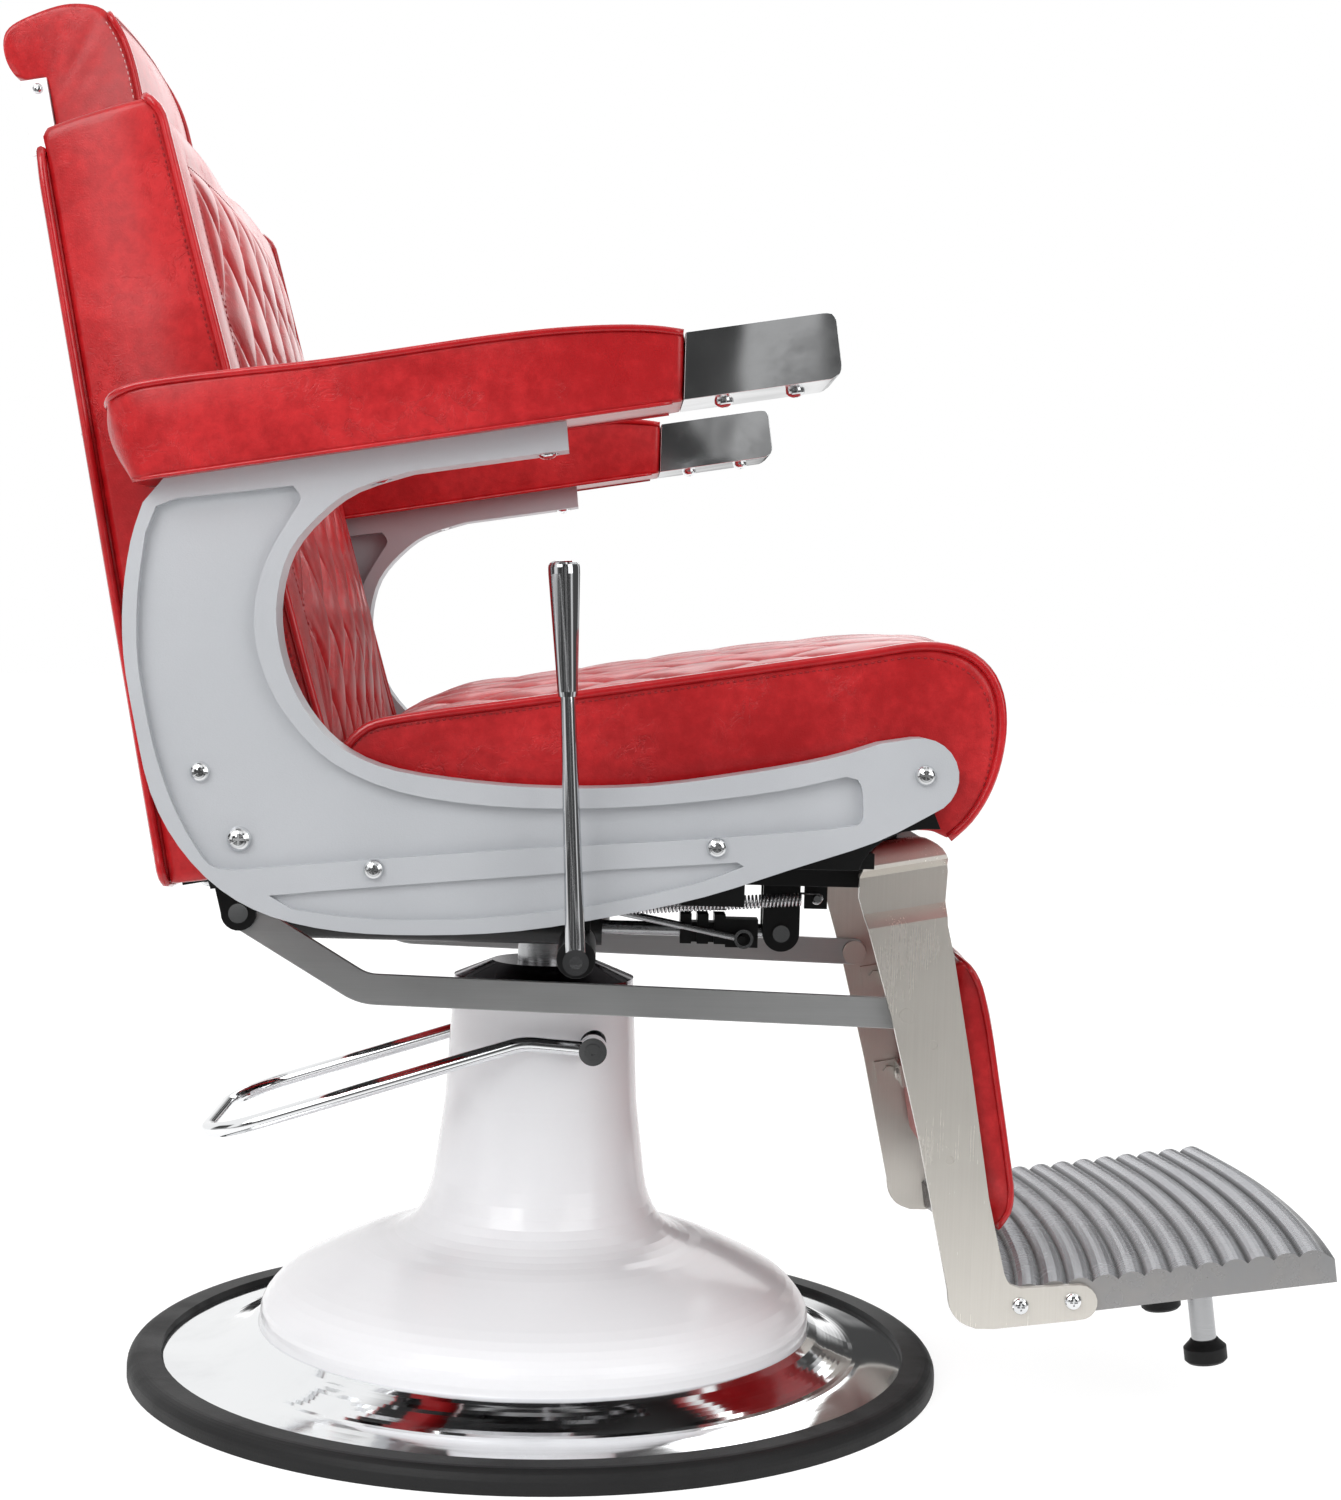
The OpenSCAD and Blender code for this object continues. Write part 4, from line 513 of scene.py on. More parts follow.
def makeMesh(name, points, faces, material, smooth=True):
    mesh = bpy.data.meshes.new(name)
    mesh.from_pydata([tuple(p) for p in points], [], faces)
    mesh.materials.append(material)
    if smooth:
        mesh.polygons.foreach_set("use_smooth", [True] * len(mesh.polygons))
    mesh.update()
    piece = bpy.data.objects.new(name, mesh)
    scene.collection.objects.link(piece)
    return piece


def flatSheet(name, w, h, material):
    return makeMesh(name, [(-w, -h, 0), (w, -h, 0), (w, h, 0), (-w, h, 0)], [(0, 1, 2, 3)],
                    material, False)


def ringFaces(count, sides, closed=False, start=0):
    # Quads between neighbouring rings of points, and a cap at each end that stays open
    faces = []
    for i in range(count if closed else count - 1):
        for k in range(sides):
            a, b = i * sides + k, i * sides + (k + 1) % sides
            c, d = ((i + 1) % count) * sides + (k + 1) % sides, ((i + 1) % count) * sides + k
            faces.append((a, b, c, d))
    if not closed:
        faces.append(tuple(range(sides))[::-1])
        faces.append(tuple((count - 1) * sides + k for k in range(sides)))
    return [tuple(start + k for k in face) for face in faces]


def tube(name, line, radius, material, sides=8, closed=False):
    # A round cord swept along the line, with a steady twist-free frame
    line = np.array(line, float)
    if closed:
        way = np.roll(line, -1, axis=0) - np.roll(line, 1, axis=0)
    else:
        way = np.gradient(line, axis=0)
    way /= np.linalg.norm(way, axis=1)[:, None]
    side = np.cross(way[0], (0.31, 0.83, 0.47))
    rings = []
    for point, direction in zip(line, way):
        side = side - direction * np.dot(side, direction)
        side /= np.linalg.norm(side)
        lift = np.cross(direction, side)
        rings.append([point + radius * (side * math.cos(a) + lift * math.sin(a))
                      for a in np.linspace(0, 2 * math.pi, sides, endpoint=False)])
    return makeMesh(name, np.array(rings).reshape(-1, 3), ringFaces(len(line), sides, closed), material)


def fixNormals(piece):
    work = bmesh.new()
    work.from_mesh(piece.data)
    bmesh.ops.recalc_face_normals(work, faces=work.faces)
    work.to_mesh(piece.data)
    work.free()


def diamonds(rows, cols, firstRow, lastRow, border, half):
    # Puff from 0 on the stitched lines to 1 in the middle of a diamond, and the lines themselves
    r, c = np.meshgrid(np.arange(rows) - firstRow, np.arange(cols) - border, indexing="ij")
    high, wide = lastRow - firstRow, cols - 1 - 2 * border
    inside = (r >= 0) & (r <= high) & (c >= 0) & (c <= wide)
    a, b = ((r + c) / (2 * half)) % 1, ((r - c) / (2 * half)) % 1
    puff = np.clip(16 * a * (1 - a) * b * (1 - b), 0, 1) ** 0.55
    edge = np.minimum(np.minimum(r, high - r), np.minimum(c, wide - c))
    puff = puff * (1 - (1 - np.clip(edge / half, 0, 1)) ** 2)
    rising = inside & ((r - c) % (2 * half) == 0)
    falling = inside & ((r + c) % (2 * half) == 0)
    return np.where(inside, puff, 0.0), rising, falling, inside & (edge == 0)


def ramp(share, rise, fall):
    # 0 to 1 over the rise, and back to 0 over the fall, both (from, to)
    up = np.clip((share - rise[0]) / (rise[1] - rise[0]), 0, 1)
    down = np.clip((fall[1] - share) / (fall[1] - fall[0]), 0, 1)
    return up * up * (3 - 2 * up) * down * down * (3 - 2 * down)


coverFrames = 16
coverCloth = {"quality": 4, "tension_stiffness": 12, "compression_stiffness": 12,
              "shear_stiffness": 5, "bending_stiffness": 0.6, "use_pressure": True}


def inflate(piece, held, look):
    # The cover swells between its seams under air pressure, up to the cap
    before = np.array([v.co for v in piece.data.vertices])
    piece.vertex_groups.new(name="seams").add([int(v) for v in held], 1.0, "REPLACE")
    cloth = piece.modifiers.new("swell", "CLOTH")
    for key, value in coverCloth.items():
        setattr(cloth.settings, key, value)
    cloth.settings.vertex_group_mass = "seams"
    cloth.settings.uniform_pressure_force = look["pressure"]
    cloth.settings.effector_weights.gravity = 0
    cloth.collision_settings.use_collision = False
    cloth.collision_settings.use_self_collision = False
    for step in range(1, coverFrames + 1):
        scene.frame_set(step)
    swollen = piece.evaluated_get(bpy.context.evaluated_depsgraph_get()).data
    after = np.array([v.co for v in swollen.vertices])
    piece.modifiers.remove(cloth)
    scene.frame_set(1)
    moved = after - before
    far = np.linalg.norm(moved, axis=1)[:, None]
    cap = look["cap"] * mm
    moved *= np.where(far > cap, cap / np.maximum(far, 1e-9), 1.0)
    piece.data.vertices.foreach_set("co", (before + moved).astype(np.float32).ravel())
    piece.data.update()
    print(piece.name, "swelled by up to", round(float(far.max()) / mm, 1), "mm")


def toFrame(points, look):
    # From the pad's own side view, in millimetres, to the frame in metres
    (x0, z0), tilt = look.get("foot", (0.0, 0.0)), math.radians(look.get("tilt", 0.0))
    u, y, v = points[..., 0], points[..., 1] + look.get("centre", 0.0), points[..., 2]
    return np.stack([x0 + u * math.cos(tilt) - v * math.sin(tilt), y,
                     z0 + u * math.sin(tilt) + v * math.cos(tilt)], -1) * mm


def quiltMap(look, n):
    # Places across the pad, the cells' puff and the stitched lines
    half, quilt = look["half"], look.get("quilt")
    if not quilt:
        y = np.linspace(-half, half, look["columns"] + 1)
        puff = np.zeros((n + 1, len(y)))
        return y, puff, puff > 0, puff > 0, puff > 0
    inner, cell = half - quilt["border"], quilt["half"]
    edge = np.linspace(-half, -inner, quilt["borderCells"] + 1)[:-1]
    middle = np.linspace(-inner, inner, quilt["across"] * 2 * cell + 1)
    y = np.concatenate([edge, middle, -edge[::-1]])
    last = quilt["first"] + quilt["down"] * cell
    return (y, *diamonds(n + 1, len(y), quilt["first"], last, quilt["borderCells"], cell))


def topPanel(look, outer, y, narrow, puff, lines):
    # The outline swept across the pad, with its crown, quilting, bow and dip
    share, t = np.linspace(0, 1, len(outer)), np.abs(y) / look["half"]
    crown = look["crown"] * ramp(share, *look["crownSpan"])[:, None]
    lift = crown * (1 - t ** look.get("crownPower", 2.6))
    quilt = look.get("quilt")
    if quilt:
        lift = lift + quilt["height"] * puff - quilt["sink"] * lines
    normal = outward(outer)
    top = np.empty((len(outer), len(y), 3))
    top[..., 0] = outer[:, None, 0] + normal[:, None, 0] * lift
    top[..., 1] = y * narrow
    top[..., 2] = outer[:, None, 1] + normal[:, None, 1] * lift
    bow, span = look.get("bow", (0.0, (0, 1, 1, 2)))
    top[..., 0] += bow * ramp(share, span[:2], span[2:])[:, None] * (1 - t ** 2)
    dip, reach, high = look.get("dip", (0.0, 1.0, 1.0))
    top[..., 0] -= dip * np.exp(-(y / reach) ** 2) * ramp(share, (-2, -1), (0, high))[:, None]
    return top


def basePanel(look, low, y, narrow):
    # The pad's underside, with room behind it for a bar where it has a channel
    base = np.empty((len(low), len(y), 3))
    base[..., 0], base[..., 2] = low[:, None, 0], low[:, None, 1]
    base[..., 1] = y * narrow * (look["half"] - look["draw"]) / look["half"]
    if "channel" in look:
        depth, wide = look["channel"]
        hollow = ramp(np.abs(y), (-2, -1), (wide, wide + 6)) * (low[:, None, 0] > look["channelFrom"])
        base[..., 0] += (depth - base[..., 0]) * hollow
    return base


def pressFlat(look, top):
    # A flat place for what is screwed on
    if "press" not in look:
        return []
    depth, wide, low, high = look["press"]
    inside = (np.abs(top[..., 1]) < wide) & (top[..., 2] > low) & (top[..., 2] < high)
    top[..., 0] = np.where(inside, depth, top[..., 0])
    return np.argwhere(inside)


def boxing(look, top, base, y):
    # Rows of points from base to top: along both sides, then along both ends
    n, m, t = len(top) - 1, len(y) - 1, np.abs(y) / look["half"]
    fade = ramp(np.linspace(0, 1, n + 1), (-2, -1), look.get("bulgeTo", (2, 3)))
    bulge = look.get("bulge", 0.0) * fade
    shares = [r / look["sideRows"] for r in range(1, look["sideRows"])]
    points = []
    for j, way in ((0, -1), (m, 1)):
        for i in range(n + 1):
            for f in shares:
                p = base[i, j] * (1 - f) + top[i, j] * f
                p[1] += way * (bulge[i] * 4 * f * (1 - f) - look["draw"] * 0.4 * math.sin(math.pi * f))
                points.append(p)
    for i, (x, z) in zip((0, n), look.get("endBulge", ((0.0, 0.0), (0.0, 0.0)))):
        for j in range(1, m):
            for f in shares:
                p = base[i, j] * (1 - f) + top[i, j] * f
                points.append(p + np.array((x, 0, z)) * 4 * f * (1 - f) * (1 - t[j] ** 4))
    return points


def coverNumbers(n, m, rows):
    # Where the points of a cover stand in its mesh: top panel, base, sides, ends
    panel, between = (n + 1) * (m + 1), rows - 1
    sides, ends = 2 * panel, 2 * panel + 2 * (n + 1) * between

    def topOf(i, j):
        return i * (m + 1) + j

    def baseOf(i, j):
        return panel + topOf(i, j)

    def sideOf(s, i, r):
        if r in (0, rows):
            return topOf(i, s * m) if r else baseOf(i, s * m)
        return sides + (s * (n + 1) + i) * between + r - 1

    def endOf(e, j, r):
        if r in (0, rows):
            return topOf(e * n, j) if r else baseOf(e * n, j)
        if j in (0, m):
            return sideOf(j // m, e * n, r)
        return ends + (e * (m - 1) + j - 1) * between + r - 1

    return topOf, baseOf, sideOf, endOf


def coverFaces(numbers, rising, falling, rows):
    # Cells crossed by a stitched line are cut in two along it
    topOf, baseOf, sideOf, endOf = numbers
    n, m = rising.shape[0] - 1, rising.shape[1] - 1
    faces = []
    for i in range(n):
        for j in range(m):
            a, b, c, d = topOf(i, j), topOf(i + 1, j), topOf(i + 1, j + 1), topOf(i, j + 1)
            if rising[i, j] and rising[i + 1, j + 1]:
                faces += [(a, b, c), (a, c, d)]
            elif falling[i + 1, j] and falling[i, j + 1]:
                faces += [(a, b, d), (b, c, d)]
            else:
                faces.append((a, b, c, d))
            faces.append((baseOf(i, j), baseOf(i, j + 1), baseOf(i + 1, j + 1), baseOf(i + 1, j)))
    for r in range(rows):
        for numberOf, count in ((sideOf, n), (endOf, m)):
            for s in (0, 1):
                for k in range(count):
                    faces.append((numberOf(s, k, r), numberOf(s, k + 1, r),
                                  numberOf(s, k + 1, r + 1), numberOf(s, k, r + 1)))
    return faces


def smoothCover(piece, look):
    smooth = piece.modifiers.new("smooth", "SUBSURF")
    smooth.levels = smooth.render_levels = 1
    done = bpy.data.meshes.new_from_object(
        piece.evaluated_get(bpy.context.evaluated_depsgraph_get()))
    piece.modifiers.clear()
    piece.vertex_groups.clear()
    piece.data = done
    done.name = piece.name
    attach(piece, look["body"])
    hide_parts(*look["replaces"])
    print(piece.name, "has", len(done.polygons), "faces")
    return np.array([v.co for v in done.vertices])


def cushion(name, look):
    # A closed cover: top panel over the outline, base under it, boxing with rows between them
    outer = evenly(spline(look["outline"]), cell=look["cell"])
    n, rows = len(outer) - 1, look["sideRows"]
    y, puff, rising, falling, rim = quiltMap(look, n)
    m, lines = len(y) - 1, rising | falling | rim
    taper = look.get("taper", [(0, 1), (1, 1)])
    narrow = np.interp(np.linspace(0, 1, n + 1), *zip(*taper))[:, None]
    top = topPanel(look, outer, y, narrow, puff, lines)
    base = basePanel(look, evenly(look["base"], count=n + 1), y, narrow)
    pressed = pressFlat(look, top)
    points = np.concatenate([top.reshape(-1, 3), base.reshape(-1, 3), boxing(look, top, base, y)])
    numbers = coverNumbers(n, m, rows)
    topOf, baseOf, sideOf = numbers[:3]
    piece = makeMesh(name, toFrame(points, look), coverFaces(numbers, rising, falling, rows), redVinyl)
    fixNormals(piece)
    seams = {topOf(i, j) for i in range(n + 1) for j in (0, m)}
    seams |= {topOf(i, j) for i in (0, n) for j in range(m + 1)}
    seams |= {baseOf(i, j) for i in range(n + 1) for j in range(m + 1)}
    stitched = {topOf(i, j) for i, j in np.argwhere(lines)}
    inflate(piece, sorted(seams | stitched | {topOf(i, j) for i, j in pressed}), look)
    creaseEdges(piece, seams, stitched)
    final = smoothCover(piece, look)
    grid = np.array([[final[topOf(i, j)] for j in range(m + 1)] for i in range(n + 1)])
    foot = np.array([[final[baseOf(i, j)] for j in (0, m)] for i in range(n + 1)])
    side = np.array([[final[sideOf(s, i, rows - 1)] for s in (0, 1)] for i in range(n + 1)])
    return {"grid": grid, "rising": rising, "falling": falling, "rim": rim, "n": n, "m": m,
            "look": look, "name": name, "foot": foot, "side": side}


creaseLook = {"seam": 0.85, "stitch": 0.6}


def creaseEdges(piece, seams, stitched):
    mesh = piece.data
    sharp = mesh.attributes.new("crease_edge", "FLOAT", "EDGE")
    values = []
    for edge in mesh.edges:
        a, b = edge.vertices
        values.append(creaseLook["seam"] if a in seams and b in seams else
                      creaseLook["stitch"] if a in stitched and b in stitched else 0.0)
    sharp.data.foreach_set("value", values)


def finishTrim(piece, pad):
    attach(piece, pad["look"]["body"])


def proud(pad, i, j, shift=1.1):
    # A point on the rim, moved away from the cover's neighbouring points
    grid, n, m = pad["grid"], pad["n"], pad["m"]
    pulls = []
    if j in (0, m):
        pulls += [grid[i, j] - grid[i, abs(j - 1)], grid[i, j] - pad["side"][i, j // m]]
    if i in (0, n):
        pulls.append(grid[i, j] - grid[abs(i - 1), j])
    way = sum((p / max(np.linalg.norm(p), 1e-9) for p in pulls), np.zeros(3))
    return grid[i, j] + way / max(np.linalg.norm(way), 1e-9) * shift * mm


trimLook = {"step": 3, "pipingCell": 0.006, "hemCell": 0.008, "hemRadius": 1.4}


def piping(pad, first=0, last=None, crossFirst=True, crossLast=False, radius=3.0):
    # A cord sewn into the seam: up one side, across, and down the other side
    m, step = pad["m"], trimLook["step"]
    last = pad["n"] if last is None else last
    near = [proud(pad, i, 0) for i in range(last, first - 1, -1)]
    far = [proud(pad, i, m) for i in range(first, last + 1)]
    across = [proud(pad, first, j) for j in range(step, m - step + 1, step)]
    runs = [near + across + far] if crossFirst else [near, far]
    for k, run in enumerate(runs):
        if crossLast:
            run = run + [proud(pad, last, j) for j in range(m - step, step - 1, -step)]
        run = evenly(spline(np.array(run)[::2], 3), cell=trimLook["pipingCell"])
        cord = tube(f"{pad['name']}Piping{k + 1}", run, radius * mm, pipingVinyl, 8, crossLast)
        finishTrim(cord, pad)


def hem(pad):
    # The folded edge under a pad, along both long sides
    for k in (0, 1):
        run = evenly(spline(pad["foot"][::2, k], 3), cell=trimLook["hemCell"])
        cord = tube(f"{pad['name']}Hem{k + 1}", run, trimLook["hemRadius"] * mm, pipingVinyl, 6)
        finishTrim(cord, pad)


stitchLook = {"pitch": 4.2, "length": 2.9, "radius": 0.42, "shoulder": 0.55}


def stitches(name, pad, runs, lift, material, look=stitchLook):
    # Short threads laid end to end along each run, lifted off the cover by a hair
    points, faces = [], []
    square = [(1, 0), (0, 1), (-1, 0), (0, -1)]
    for run, up in runs:
        run, up = np.asarray(run, float), np.asarray(up, float)
        count = max(1, round(np.linalg.norm(np.diff(run, axis=0), axis=1).sum() / (look["pitch"] * mm)))
        middles = evenly(np.hstack([run, up]), at=(np.arange(count) + 0.5) / count)
        ways = np.gradient(middles[:, :3], axis=0) if count > 1 else (run[-1] - run[0])[None]
        for middle, way in zip(middles, ways):
            along = way / max(np.linalg.norm(way), 1e-9)
            rise = middle[3:] / max(np.linalg.norm(middle[3:]), 1e-9)
            across = np.cross(along, rise)
            centre = middle[:3] + rise * lift * mm
            reach, r = along * look["length"] * mm / 2, look["radius"] * mm
            start = len(points)
            points.append(centre - reach - rise * r * 2)
            for shift in (-look["shoulder"], look["shoulder"]):
                points += [centre + reach * shift + r * (a * across + b * rise) for a, b in square]
            points.append(centre + reach - rise * r * 2)
            for k in range(4):
                a, b = start + 1 + k, start + 1 + (k + 1) % 4
                faces += [(start, b, a), (a, b, b + 4, a + 4), (a + 4, b + 4, start + 9)]
    finishTrim(makeMesh(name, points, faces, material), pad)
    print(name, "has", len(faces) // 12, "stitches")


def quiltStitches(pad):
    # Two to a cell on the crossing lines, one on the straight rim
    grid, n, m = pad["grid"], pad["n"], pad["m"]
    up = np.cross(np.gradient(grid, axis=0), np.gradient(grid, axis=1))
    up /= np.linalg.norm(up, axis=2)[..., None]
    if np.mean(up[..., 0] + up[..., 2]) < 0:
        up = -up
    runs = []
    for mask, (di, dj) in ((pad["rising"], (1, 1)), (pad["falling"], (1, -1)),
                           (pad["rim"], (1, 0)), (pad["rim"], (0, 1))):
        for i in range(n - di + 1):
            for j in range(max(0, -dj), m + 1 - max(0, dj)):
                if mask[i, j] and mask[i + di, j + dj]:
                    ends = (i, j), (i + di, j + dj)
                    runs.append(([grid[e] for e in ends], [up[e] for e in ends]))
    stitches(pad["name"] + "Quilting", pad, runs, 0.25, redThread)


def seamStitches(pad, first, last, material, share=0.55, lift=0.5):
    # A row on each side panel, just behind the piped edge
    for k, j, way in ((0, 0, -1), (1, pad["m"], 1)):
        run = [pad["grid"][i, j] * (1 - share) + pad["side"][i, k] * share
               for i in range(first, last + 1)]
        run = evenly(spline(run, 3), cell=trimLook["pipingCell"])
        up = np.tile((0.0, way, 0.0), (len(run), 1))
        stitches(f"{pad['name']}Seam{k + 1}", pad, [(run, up)], lift, material)


# Seat cushion: quilted top and nose, piped sides
seatLook = {
    "outline": [(-127, 434), (-130, 446), (-121, 472), (-100, 486), (0, 503), (100, 520), (200, 537),
                (240, 544), (268, 540), (286, 524), (292, 500), (290, 474), (283, 452), (272, 434),
                (259, 422.5)],
    "base": [(-122, 426.8), (250, 426.8)], "half": 279, "cell": 8.4, "sideRows": 9, "draw": 5,
    "bulge": 4.0,
    "crown": 12, "crownSpan": ((0.06, 0.2), (0.62, 0.84)), "bow": (30, (0.5, 0.72, 2, 3)),
    "quilt": {"first": 8, "down": 7, "across": 8, "half": 6, "border": 16, "borderCells": 3,
              "height": 4.0, "sink": 2.2},
    "pressure": 5.0, "cap": 5, "fill": 0.8, "body": "seat", "replaces": ["seat_cushion"]}
seatPad = cushion("seatCushion", seatLook)
piping(seatPad, crossFirst=False)
quiltStitches(seatPad)
seamStitches(seatPad, 4, seatPad["n"] - 2, redThread)

# Back cushion: its outline runs down the front face from the top edge
backPlace = {"foot": (-236, 376), "tilt": 10.7}
backLook = {
    **backPlace,
    "outline": [(68, 496), (74, 491), (77, 480), (87, 360), (98, 240), (109, 120), (112, 90),
                (114, 62), (108, 34), (95, 10), (76, 0)],
    "base": [(5, 488), (0.5, 482), (1.5, 470), (1.5, 2)], "half": 261, "cell": 8.4, "sideRows": 10,
    "draw": 3, "crown": 13, "crownSpan": ((-0.01, 0.14), (0.66, 0.84)), "crownPower": 2.2,
    "bulge": 4.5, "bulgeTo": (0.8, 0.86), "endBulge": ((0, 4), (0, -2)), "dip": (9, 60, 0.09),
    "quilt": {"first": 5, "down": 8, "across": 6, "half": 6, "border": 54, "borderCells": 7,
              "height": 4.0, "sink": 2.4},
    "pressure": 5.0, "cap": 5, "fill": 0.8, "body": "back",
    "replaces": ["back_cushion", "back_board"]}
backPad = cushion("backCushion", backLook)
piping(backPad)
quiltStitches(backPad)
seamStitches(backPad, 2, backPad["n"] - 6, redThread)

# Rear panel: thin padding with a piped rim, pressed flat where the guide is screwed on
rearLook = {
    **backPlace,
    "outline": [(-1.5, 3), (-2.5, 30), (-2.5, 240), (-2.5, 450), (-1.5, 474)],
    "base": [(1.2, 4), (1.2, 473)], "half": 259, "cell": 12, "columns": 44, "sideRows": 2, "draw": 2,
    "crown": 3.5, "crownSpan": ((0.0, 0.12), (0.88, 1.0)), "crownPower": 4,
    "press": (0.2, 46, 276, 460), "pressure": 2.0, "cap": 2, "fill": 0.4, "body": "back",
    "replaces": ["back_panel"]}
rearPad = cushion("rearPanel", rearLook)
piping(rearPad, crossLast=True)

# Headrest: its outline runs from the roll at the rear over the top to the front's lower edge
headrestLook = {
    **backPlace,
    "outline": [(-39.5, 561.5), (-43.5, 570.5), (-44, 584.5), (-38.5, 594.5), (-19.5, 601),
                (3.5, 604.5), (23.5, 600.5), (30.5, 594.5), (35.5, 583.5), (39.5, 569.5),
                (41.5, 554.5), (42.5, 532.5), (42, 503)],
    "base": [(-34.5, 559), (-20.5, 559), (-18.5, 557), (-18, 503.5)], "half": 108, "cell": 6.5,
    "columns": 34, "sideRows": 8, "draw": 5, "crown": 4, "crownSpan": ((0.02, 0.2), (0.8, 1.0)),
    "channel": (-6.7, 28), "channelFrom": -20, "bulge": 1.8,
    "pressure": 6.0, "cap": 4, "fill": 0.8, "body": "headrest",
    "replaces": ["headrest_cushion", "headrest_board"]}
headrestPad = cushion("headrestCushion", headrestLook)
headrestSeam = round(headrestPad["n"] * 0.54)
piping(headrestPad, first=headrestSeam, radius=2.4)
seamStitches(headrestPad, headrestSeam, headrestPad["n"], paleThread, 0.5, 0.7)

# Arm pads: flat top panel with a piped edge, boxing round the rear end
armLook = {
    "outline": [(-266, 675), (-261, 681), (-250, 685.5), (-215, 692), (-131, 704), (-35, 721),
                (18, 728), (58, 730), (81, 728)],
    "base": [(-251, 630), (81.5, 687.8)], "half": 38.5, "cell": 7, "columns": 12, "sideRows": 8,
    "draw": 3, "crown": 3.5, "crownSpan": ((-0.2, 0.05), (0.96, 1.2)), "bulge": 2.4,
    "endBulge": ((-7, 0), (0, 0)), "taper": [(0, 0.8), (0.015, 0.9), (0.04, 0.97), (0.08, 1)],
    "pressure": 7.0, "cap": 3.5, "fill": 0.8, "body": "seat"}


for side, centre in (("right", -304), ("left", 304)):
    pad = cushion(f"armPad_{side}", {**armLook, "centre": centre,
                                     "replaces": [f"arm_pad_{side}", f"arm_board_{side}"]})
    piping(pad, radius=2.2)
    hem(pad)


# Calf pad
calfLook = {
    "foot": (300, 148), "tilt": 10,
    "outline": [(20, 181), (25, 175), (29, 162), (31, 130), (31, 90), (31, 50), (30, 16), (24, 2),
                (18, -3)],
    "base": [(0.3, 176), (0.3, 4)], "half": 170, "cell": 6.5, "columns": 52, "sideRows": 6,
    "draw": 6, "crown": 15, "crownSpan": ((-0.1, 0.25), (0.75, 1.1)), "pressure": 6.0, "cap": 4,
    "fill": 0.8, "body": "leg_rest", "replaces": ["calf_pad", "calf_board"]}
calfPad = cushion("calfCushion", calfLook)
piping(calfPad, crossLast=True, radius=2.2)


# Return spring: a hook over each pin and close turns
springLook = {"from": (34.49, 355.49), "to": (191, 367), "turns": 52, "radius": 4.2, "wire": 0.8,
              "hook": 11, "hookRadius": 3.65, "hookTurn": (-150, 61, 30), "steps": 12,
              "still": 17, "pulled": 5}  # counts of still and pulled turns


def buildSpring(look):
    y = sum(corner[1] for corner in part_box("return_spring")) / 2 / mm
    start = np.array((look["from"][0], y, look["from"][1]))
    end = np.array((look["to"][0], y, look["to"][1]))
    way = (end - start) / np.linalg.norm(end - start)
    side = np.array((0.0, 1.0, 0.0))
    rise = np.cross(way, side)

    def hook(at, ahead):
        turns = np.radians(np.arange(*look["hookTurn"]))
        return [at + look["hookRadius"] * (rise * math.sin(a) - ahead * math.cos(a)) for a in turns]

    length = np.linalg.norm(end - start) - 2 * look["hook"]
    count = look["steps"] * look["turns"]
    coils = [start + way * (look["hook"] + length * i / count)
             + look["radius"] * (rise * math.cos(2 * math.pi * i / look["steps"])
                                 + side * math.sin(2 * math.pi * i / look["steps"]))
             for i in range(count + 1)]
    line = np.array(hook(start, way) + coils + hook(end, -way)[::-1]) * mm
    spring = tube("returnSpring", line, look["wire"] * mm, springSteel, 6)
    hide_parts("return_spring")
    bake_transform(spring)
    print("return spring:", look["turns"], "turns")


buildSpring(springLook)


# Small dome screws in the rim of the rear panel
panelScrewLook = {
    **backPlace, "radius": 3.4, "height": 2.2, "rear": -5.0, "side": 255.5, "levels": (25, 293),
    "sides": 16, "profile": [(1.0, 0.0), (1.0, 0.3), (0.86, 0.62), (0.5, 0.9), (0.18, 1.0)]}


def buildPanelScrews(look):
    points, faces = [], []
    for v in look["levels"]:
        for y in (-look["side"], look["side"]):
            faces += ringFaces(len(look["profile"]), look["sides"], start=len(points))
            for r, h in look["profile"]:
                for a in np.linspace(0, 2 * math.pi, look["sides"], endpoint=False):
                    points.append((look["rear"] - h * look["height"],
                                   y + r * look["radius"] * math.cos(a),
                                   v + r * look["radius"] * math.sin(a)))
    screws = makeMesh("panelScrews", toFrame(np.array(points), look), faces, screwSteel)
    fixNormals(screws)
    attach(screws, "back")
    print("panel screws:", len(look["levels"]) * 2)


buildPanelScrews(panelScrewLook)


# Floor, background, lamps and camera
studioLook = {
    "cameraSpot": (0.0366, -1.8319, 0.5368), "yaw": 0.0291, "pitch": 0.0405, "roll": 0.0284,
    "focal": 2454.2, "imageHeight": 1500, "sky": 0.64, "aim": (0.0, 0.0, 0.5),
    "floorReach": 30, "floorTone": 0.9, "floorRough": 0.9, "floorGlow": 1.26, "floorShare": 0.7,
    "lamps": {"keyLamp": ((-1.9, -3.0, 2.7), 2.4, 78), "fillLamp": ((2.6, -2.6, 1.7), 2.2, 30),
              "topLamp": ((0.1, 0.2, 3.4), 2.6, 26), "rearLamp": ((0.6, 3.2, 2.4), 2.4, 34)}}


def buildFloor(look):
    material, tree, _ = newMaterial("paleFloor", {
        "Base Color": (look["floorTone"],) * 3 + (1,), "Roughness": look["floorRough"],
        "Specular IOR Level": 0.0})
    glow = put(tree, "ShaderNodeEmission")
    glow.inputs["Strength"].default_value = look["floorGlow"]
    share = calc(tree, "MULTIPLY", seenDirectly(tree), look["floorShare"])
    lit = tree.nodes["Principled BSDF"].outputs[0]
    feed(tree, mixShaders(tree, share, lit, glow.outputs[0]),
         tree.nodes["Material Output"].inputs["Surface"])
    flatSheet("floor", look["floorReach"], look["floorReach"], material)


